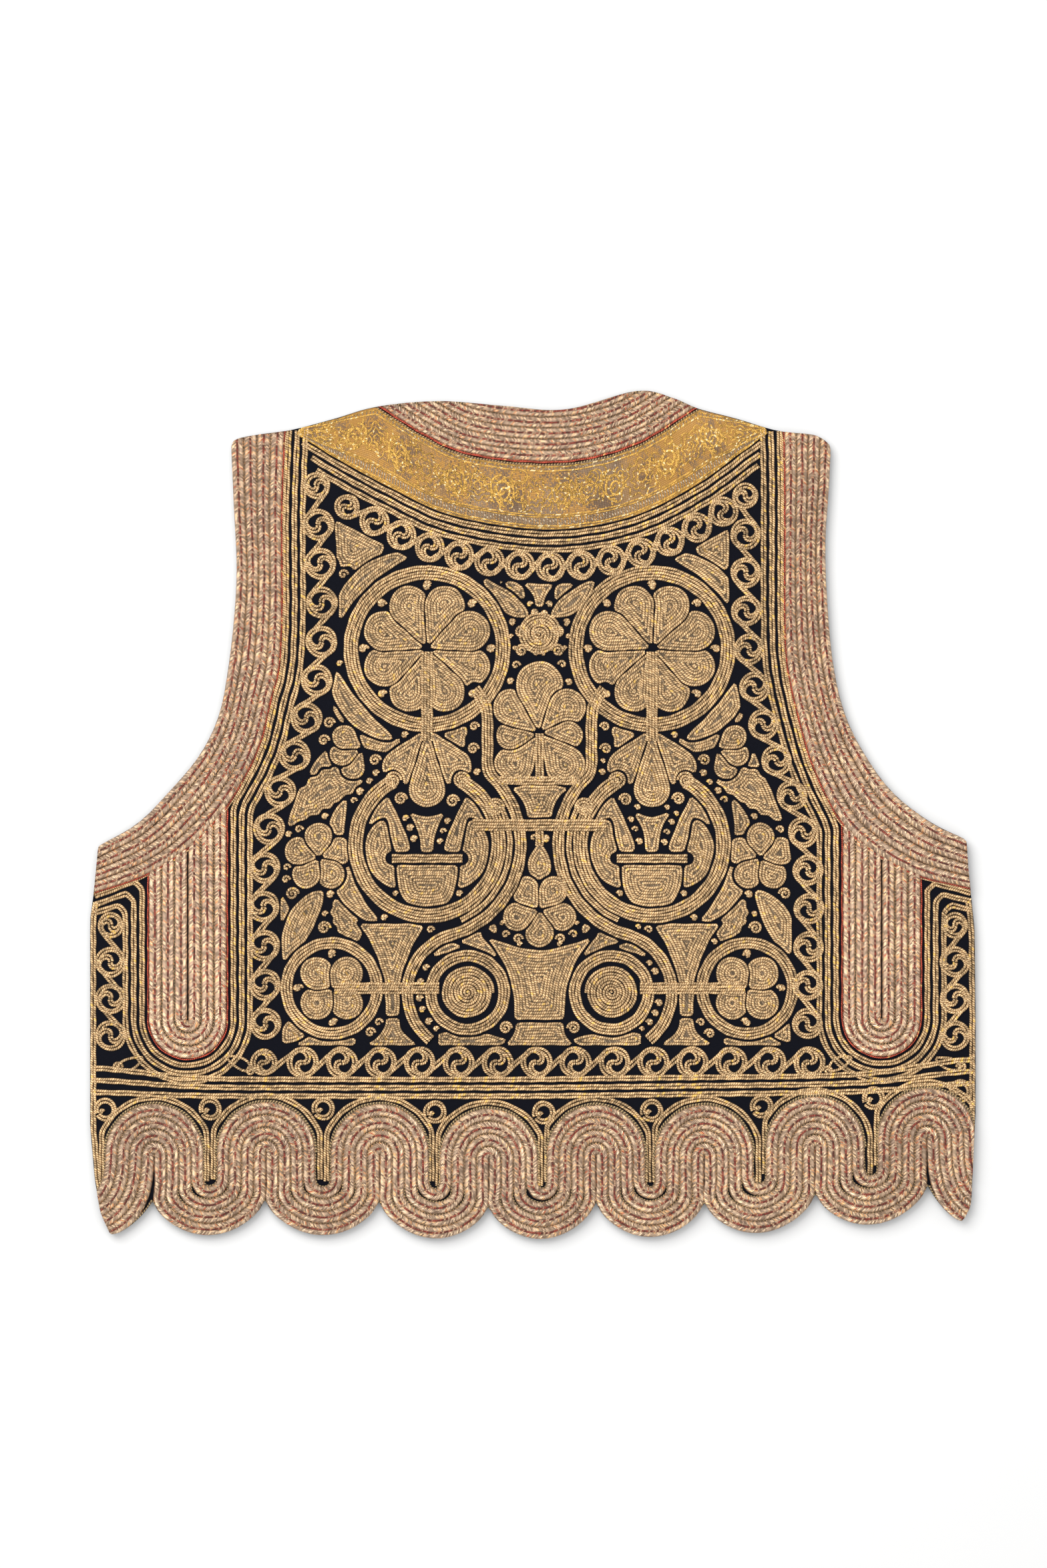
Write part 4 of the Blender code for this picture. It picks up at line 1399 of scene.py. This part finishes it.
def vase(x, top, bottom, flare, waist, dip=0.0):
    """Trumpet vase; the mouth may dip in its middle. Turned over when top is under bottom."""
    t = spread(20)
    half = waist + (flare - waist) * (1 - t) ** 2.6
    y = top + (bottom - top) * t
    mouth = np.linspace(-1.0, 1.0, 13)[1:-1]
    rim = np.column_stack([x + mouth * flare, top - dip * (1 - np.abs(mouth) ** 1.5)])
    left = np.column_stack([x - half, y])
    right = np.column_stack([x + half, y])[::-1]
    return np.vstack([left, right, rim[::-1]])


def flower(thread, centre, count, length, plump, start):
    for k in range(count):
        fill(thread, petal(centre[0], centre[1], start + 360.0 / count * k, length, plump), 0.45)


def knots_round(thread, centre, radius, start, end, count, size=1.55):
    for a in np.radians(np.linspace(start, end, count)):
        knot(thread, centre[0] + radius * math.cos(a), centre[1] + radius * math.sin(a), size)


FIELD_BORDER = np.vstack([
    smooth(LEFT_GUIDE), [(LEFT_GUIDE[-1][0], BOTTOM_ROW_Y)],
    [(RIGHT_GUIDE[-1][0], BOTTOM_ROW_Y)], smooth(RIGHT_GUIDE)[::-1],
    shift(smooth(YOKE_LOWER), -YOKE_TO_SCROLLS)[::-1],
])
FIELD_MARGIN = 8.1

# Leaves of the left half: x, y of the base, heading, length, width, bend in degrees, lobes of the edge
LEAVES = [
    (-99.0, 45.0, 106.0, 40.0, 12.0, 8.0, 0),
    (-68.0, 36.0, 168.0, 40.0, 13.0, 16.0, 0),
    (-86.0, 26.0, 214.0, 62.0, 19.0, 30.0, 8),
    (-104.0, 40.0, 232.0, 36.0, 13.0, -36.0, 0),
    (-93.0, 0.0, 224.0, 36.0, 13.0, 40.0, 0),
    (-112.0, -40.0, 246.0, 50.0, 15.0, 44.0, 0),
    (-102.0, -40.0, 284.0, 31.0, 18.0, 14.0, 6),
    (-138.0, -40.0, 270.0, 46.0, 11.0, -30.0, 0),
    (-36.0, 54.0, 256.0, 44.0, 13.0, 34.0, 6),
    (-44.0, 40.0, 250.0, 30.0, 9.0, -20.0, 0),
    (-65.0, -19.5, 110.0, 48.0, 17.0, -88.0, 0),
    (-49.0, -19.5, 70.0, 48.0, 17.0, 88.0, 0),
    (-136.0, -124.0, 30.0, 34.0, 13.0, -50.0, 0),
    (-22.0, -64.0, 200.0, 40.0, 11.0, 34.0, 5),
    (-59.0, -121.5, 0.0, 46.0, 12.0, 8.0, 0),
    (-94.0, -121.5, 180.0, 36.0, 12.0, -16.0, 0),
    (-16.0, -42.0, 64.0, 30.0, 11.0, 40.0, 0),
    (-20.0, -58.0, 236.0, 26.0, 9.0, -20.0, 0),
    (-7.0, 110.0, 104.0, 24.0, 10.0, 0.0, 0),
    (-24.0, 128.0, -6.0, 24.0, 9.0, 0.0, 0),
]


def field_flowers(thread):
    flower(thread, UPPER, 8, 36.0, 10.9, 22.5)
    flower(thread, SIDE, 4, 20.4, 9.0, 45.0)
    flower(thread, SIDE_FLOWER, 5, 19.0, 7.6, 90.0)
    for angle in (148.0, 196.0, 244.0):
        fill(thread, petal(*CALYX, angle, 18.0, 6.6), 0.5)
    fill(thread, pot(MIDDLE[0], -26.5, 33.0, 24.5))
    fill(thread, vase(MIDDLE[0], 3.0, -20.8, 12.0, 3.6, 4.0))
    fill(thread, vase(-75.6, -58.5, -108.5, 18.5, 3.8))
    fill(thread, vase(-75.6, -125.0, -109.5, 17.0, 3.8))


def fan(thread, x, y, first, last, count, length, plump):
    """Palmette: petals side by side from one base, the middle ones laid first."""
    middle = (first + last) / 2
    angles = sorted(np.linspace(first, last, count), key=lambda angle: abs(angle - middle))
    for angle in angles:
        share = abs(angle - middle) / max(abs(last - first), 1.0)
        fill(thread, petal(x, y, angle, length * (1.0 - 0.35 * share), plump), 0.5)


def field_leaves(thread):
    fill(thread, crescent(UPPER, 46.2, 56.5, 98.0, 168.0))
    fill(thread, crescent(UPPER, 46.2, 57.5, 190.0, 250.0))
    fill(thread, crescent(UPPER, 46.2, 55.0, 84.0, 50.0))
    fill(thread, leaf(-83.0, 133.0, 131.0, 46.0, 30.0, 0.0, lobes=7), 0.8)
    fan(thread, MIDDLE[0], 47.0, 236.0, 304.0, 3, 43.0, 10.0)
    fill(thread, crescent(MIDDLE, 19.0, 34.0, 150.0, 240.0))
    fill(thread, crescent(MIDDLE, 19.0, 34.0, 30.0, -60.0))
    fill(thread, crescent(MIDDLE, 43.6, 56.0, 150.0, 240.0))
    fill(thread, crescent(LOWER, 24.0, 34.0, 104.0, 20.0))
    for x, y, angle, length, width, bend, lobes in LEAVES:
        fill(thread, leaf(x, y, angle, length, width, bend, lobes=lobes))


def field_bands(thread):
    """Rings, stems and the long S-shaped band of the left half."""
    for centre, inner, count in ((UPPER, 37.0, 5), (SIDE, 21.2, 4), (LOWER, 16.6, 4)):
        for k in range(count):
            thread.cord(arc(centre, inner + (k + 0.5) * CORD, 90.0, 450.0))
        thread.ground.keep_off(arc(centre, inner + count * CORD / 2, 90.0, 450.0), count * CORD / 2)
    turn = arc(MIDDLE, S_BAND_RADIUS, 46.0, TOUCH_ANGLE)
    swing = arc(LOWER, LOWER_TURN_RADIUS, TOUCH_ANGLE + 180.0, 232.0)[1:]
    drop = smooth([(STEM_X - 7.0, 68.0), (STEM_X - 1.5, 60.0), (STEM_X, 50.0), (STEM_X, 24.0)])
    for path, count, lift in (
        (arc(MIDDLE, 38.6, 118.0, 422.0), 5, 0.0),
        (smooth(resample(np.vstack([drop, turn, swing]), 6.0), 5), 4, 0.35),
        (arc(MIDDLE, 44.7, 28.0, -66.0), 2, 0.0),
        ([(MIDDLE[0] - 19.0, -23.5), (MIDDLE[0] + 19.0, -23.5)], 3, 0.0),
    ):
        band(thread, path, count, lift)
        thread.ground.keep_off(path, count * CORD / 2)
    band(thread, [(UPPER[0], 88.0), (UPPER[0], 40.0)], 4, 0.5)
    band(thread, [(-107.0, SIDE[1]), (-50.5, SIDE[1])], 4, 0.5)
    for x, y, radius in (
        (*LOWER, 14.6), (-20.6, 4.0, 5.6), (MIDDLE[0] - 18.4, 18.8, 5.0), (MIDDLE[0] + 18.4, 18.8, 5.0),
    ):
        coil(thread, x, y, radius, 0.1)
        thread.ground.keep_off(circle(x, y, radius / 2), radius / 2)


def corner_curls(thread):
    """Curls that close the corners between the tongues, the scrolls and the hem lines."""
    for x, y, angle in ((-152.0, -138.0, 150.0), (-224.0, -136.0, 20.0)):
        coil(thread, x, y, 3.4)
        rib = leaf(x, y, angle, 15.0, 6.0, 20.0)
        thread.cord(closed_path(rib))


def field_knots(thread):
    knots_round(thread, UPPER, 34.6, 0.0, 315.0, 8, 2.5)
    knots_round(thread, SIDE, 18.8, 0.0, 270.0, 4, 2.2)
    knots_round(thread, MIDDLE, 28.5, 96.0, 84.0, 2, 1.8)


def field_beads(thread):
    """Small coils and knots in every gap that the leaves leave, the widest gaps first."""
    ground = thread.ground
    left = ground.low[0] + np.arange(ground.free.shape[1]) * ground.cell < MIRROR_X - 1.5
    for _ in range(BEADS):
        free = np.where(left[None, :], ground.free, -1.0)
        row, column = np.unravel_index(free.argmax(), free.shape)
        room = free[row, column]
        if room < 2.1:
            return
        x, y = ground.low + np.array([column, row]) * ground.cell
        radius = min(room - 0.8, MIRROR_X - x, 4.0)
        if radius > 2.4:
            coil(thread, x, y, radius)
        else:
            knot(thread, x, y, max(radius, 1.2))
        thread.ground.keep_off(circle(x, y, radius / 2), radius / 2 + 0.4)


def fan_length(turn, long_side, short_side):
    """Petals are longest up and down, shortest to the sides."""
    share = 0.5 + 0.5 * math.cos(2 * math.radians(turn))
    return short_side + (long_side - short_side) * share


def build_middle(ground, across):
    thread = Thread("couched_middle")
    thread.ground, thread.across = ground, across
    heart = (MIRROR_X, 44.0)
    for k in range(-3, 4):
        length = fan_length(47.0 * k, 39.0, 23.5)
        fill(thread, petal(*heart, 90.0 + 47.0 * k, length, 0.33 * length), 0.45)
    flower(thread, (MIRROR_X, -51.0), 5, 20.5, 7.8, 54.0)
    fill(thread, vase(MIRROR_X, 16.0, -1.5, 19.0, 7.0))
    fill(thread, leaf(MIRROR_X, -13.0, -90.0, 24.0, 13.0, 0.0, 0.58))
    fill(thread, vase(MIRROR_X, -65.0, -110.5, 30.0, 13.5, 8.0))
    fill(thread, vase(MIRROR_X, -125.0, -111.8, 20.0, 13.0))
    fill(thread, vase(MIRROR_X, 127.5, 112.0, 14.0, 2.5))
    for side in (-1, 1):
        fill(thread, leaf(MIRROR_X + side * 5.0, 107.0, 90.0 - side * 50.0, 33.0, 11.0, side * 30.0))
        knots_round(thread, (MIRROR_X, 97.6), 15.5, 90.0 - side * 70.0, 90.0 - side * 120.0, 3)
        knots_round(thread, (MIRROR_X, -51.0), 21.5, 90.0 - side * 30.0, 90.0 - side * 150.0, 4)
    coil(thread, MIRROR_X, 97.6, 12.0)
    band(thread, [heart, (heart[0], 18.0)], 3, 0.3)
    band(thread, [(MIRROR_X - 22.0, 18.5), (MIRROR_X + 22.0, 18.5)], 3, 0.1)
    band(thread, [(MIRROR_X - 36.0, -5.5), (MIRROR_X + 36.0, -5.5)], 4, 0.75)
    band(thread, [(MIRROR_X, -8.5), (MIRROR_X, -16.5)], 3)
    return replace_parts(thread.build(), "rosette_centre", "bar_centre", "vase_centre", "vase_lower")


def build_couching():
    left, right = Thread("couched_left"), Thread("couched_right")
    left.ground = Ground(FIELD_BORDER, FIELD_MARGIN)
    over = Across(right, Ground(mirrored(FIELD_BORDER), FIELD_MARGIN))
    for half in (left, over):
        field_bands(half)
    middle = build_middle(left.ground, over.ground)
    for half in (left, over):
        field_flowers(half)
        field_leaves(half)
        field_knots(half)
        field_beads(half)
        corner_curls(half)
    names = [f"ring_{place}" for place in ("upper", "middle", "side", "lower")]
    names += ["rosette_upper", "rosette_side", "disc_lower"]
    made = [middle]
    for thread, side in ((left, "left"), (right, "right")):
        made.append(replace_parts(thread.build(), *[f"{name}_{side}" for name in names]))
    return made


# ---------------------------------------------------------------- stage
def build_stage():
    mesh = bpy.data.meshes.new("floor")
    size = 4.0
    corners = [(-size, -size, 0), (size, -size, 0), (size, size, 0), (-size, size, 0)]
    mesh.from_pydata(corners, [], [(0, 1, 2, 3)])
    look = Look("paper_white")
    mesh.materials.append(look.finish((0.93, 0.93, 0.925), 0.9))
    floor = placed("floor", mesh)
    floor.location.z = -0.0003
    return floor


def area_light(name, place, size, power):
    data = bpy.data.lights.new(name, "AREA")
    data.size = size
    data.energy = power
    item = placed(name, data)
    item.location = place
    item.rotation_mode = "QUATERNION"
    item.rotation_quaternion = (-item.location).to_track_quat("-Z", "Y")


def build_light_and_camera():
    scene = bpy.context.scene
    scene.view_settings.view_transform = "Standard"
    world = bpy.data.worlds.new("studio")
    world.use_nodes = True
    world.node_tree.nodes["Background"].inputs[0].default_value = (1.0, 1.0, 1.0, 1.0)
    world.node_tree.nodes["Background"].inputs[1].default_value = 0.62
    scene.world = world
    area_light("key", (-0.8, 1.0, 1.6), 1.5, 26.5)
    area_light("fill", (0.1, 0.2, 1.9), 1.6, 8.0)
    camera = bpy.data.cameras.new("camera")
    camera.sensor_width = 36.0
    camera.lens = 127.5
    scene.camera = placed("camera", camera)
    scene.camera.location = (-0.00504, 0.0167, 3.0)


def main():
    floor = build_stage()
    front_left = build_front("front_wool_left", "front_left", -1, LEFT_SIDE, LEFT_ARMHOLE, 1.6, -205.0)
    front_right = build_front("front_wool_right", "front_right", 1, RIGHT_SIDE, RIGHT_ARMHOLE, 0.0, -198.0)
    back = build_back()
    yoke = build_yoke()
    figure = build_yoke_figure()
    trims = [
        build_neck(),
        build_armhole("armhole_braids_left", "armhole_band_left", LEFT_ARMHOLE, LEFT_BAND_INNER, -1),
        build_armhole("armhole_braids_right", "armhole_band_right", RIGHT_ARMHOLE, RIGHT_BAND_INNER, 1),
        build_hem(),
        build_tongue("tongue_braids_left", "tongue_left", LEFT_TONGUE, LEFT_BAND_INNER),
        build_tongue("tongue_braids_right", "tongue_right", RIGHT_TONGUE, RIGHT_BAND_INNER),
        build_border(),
        build_edging(),
    ]
    trims += build_couching()
    build_light_and_camera()


main()
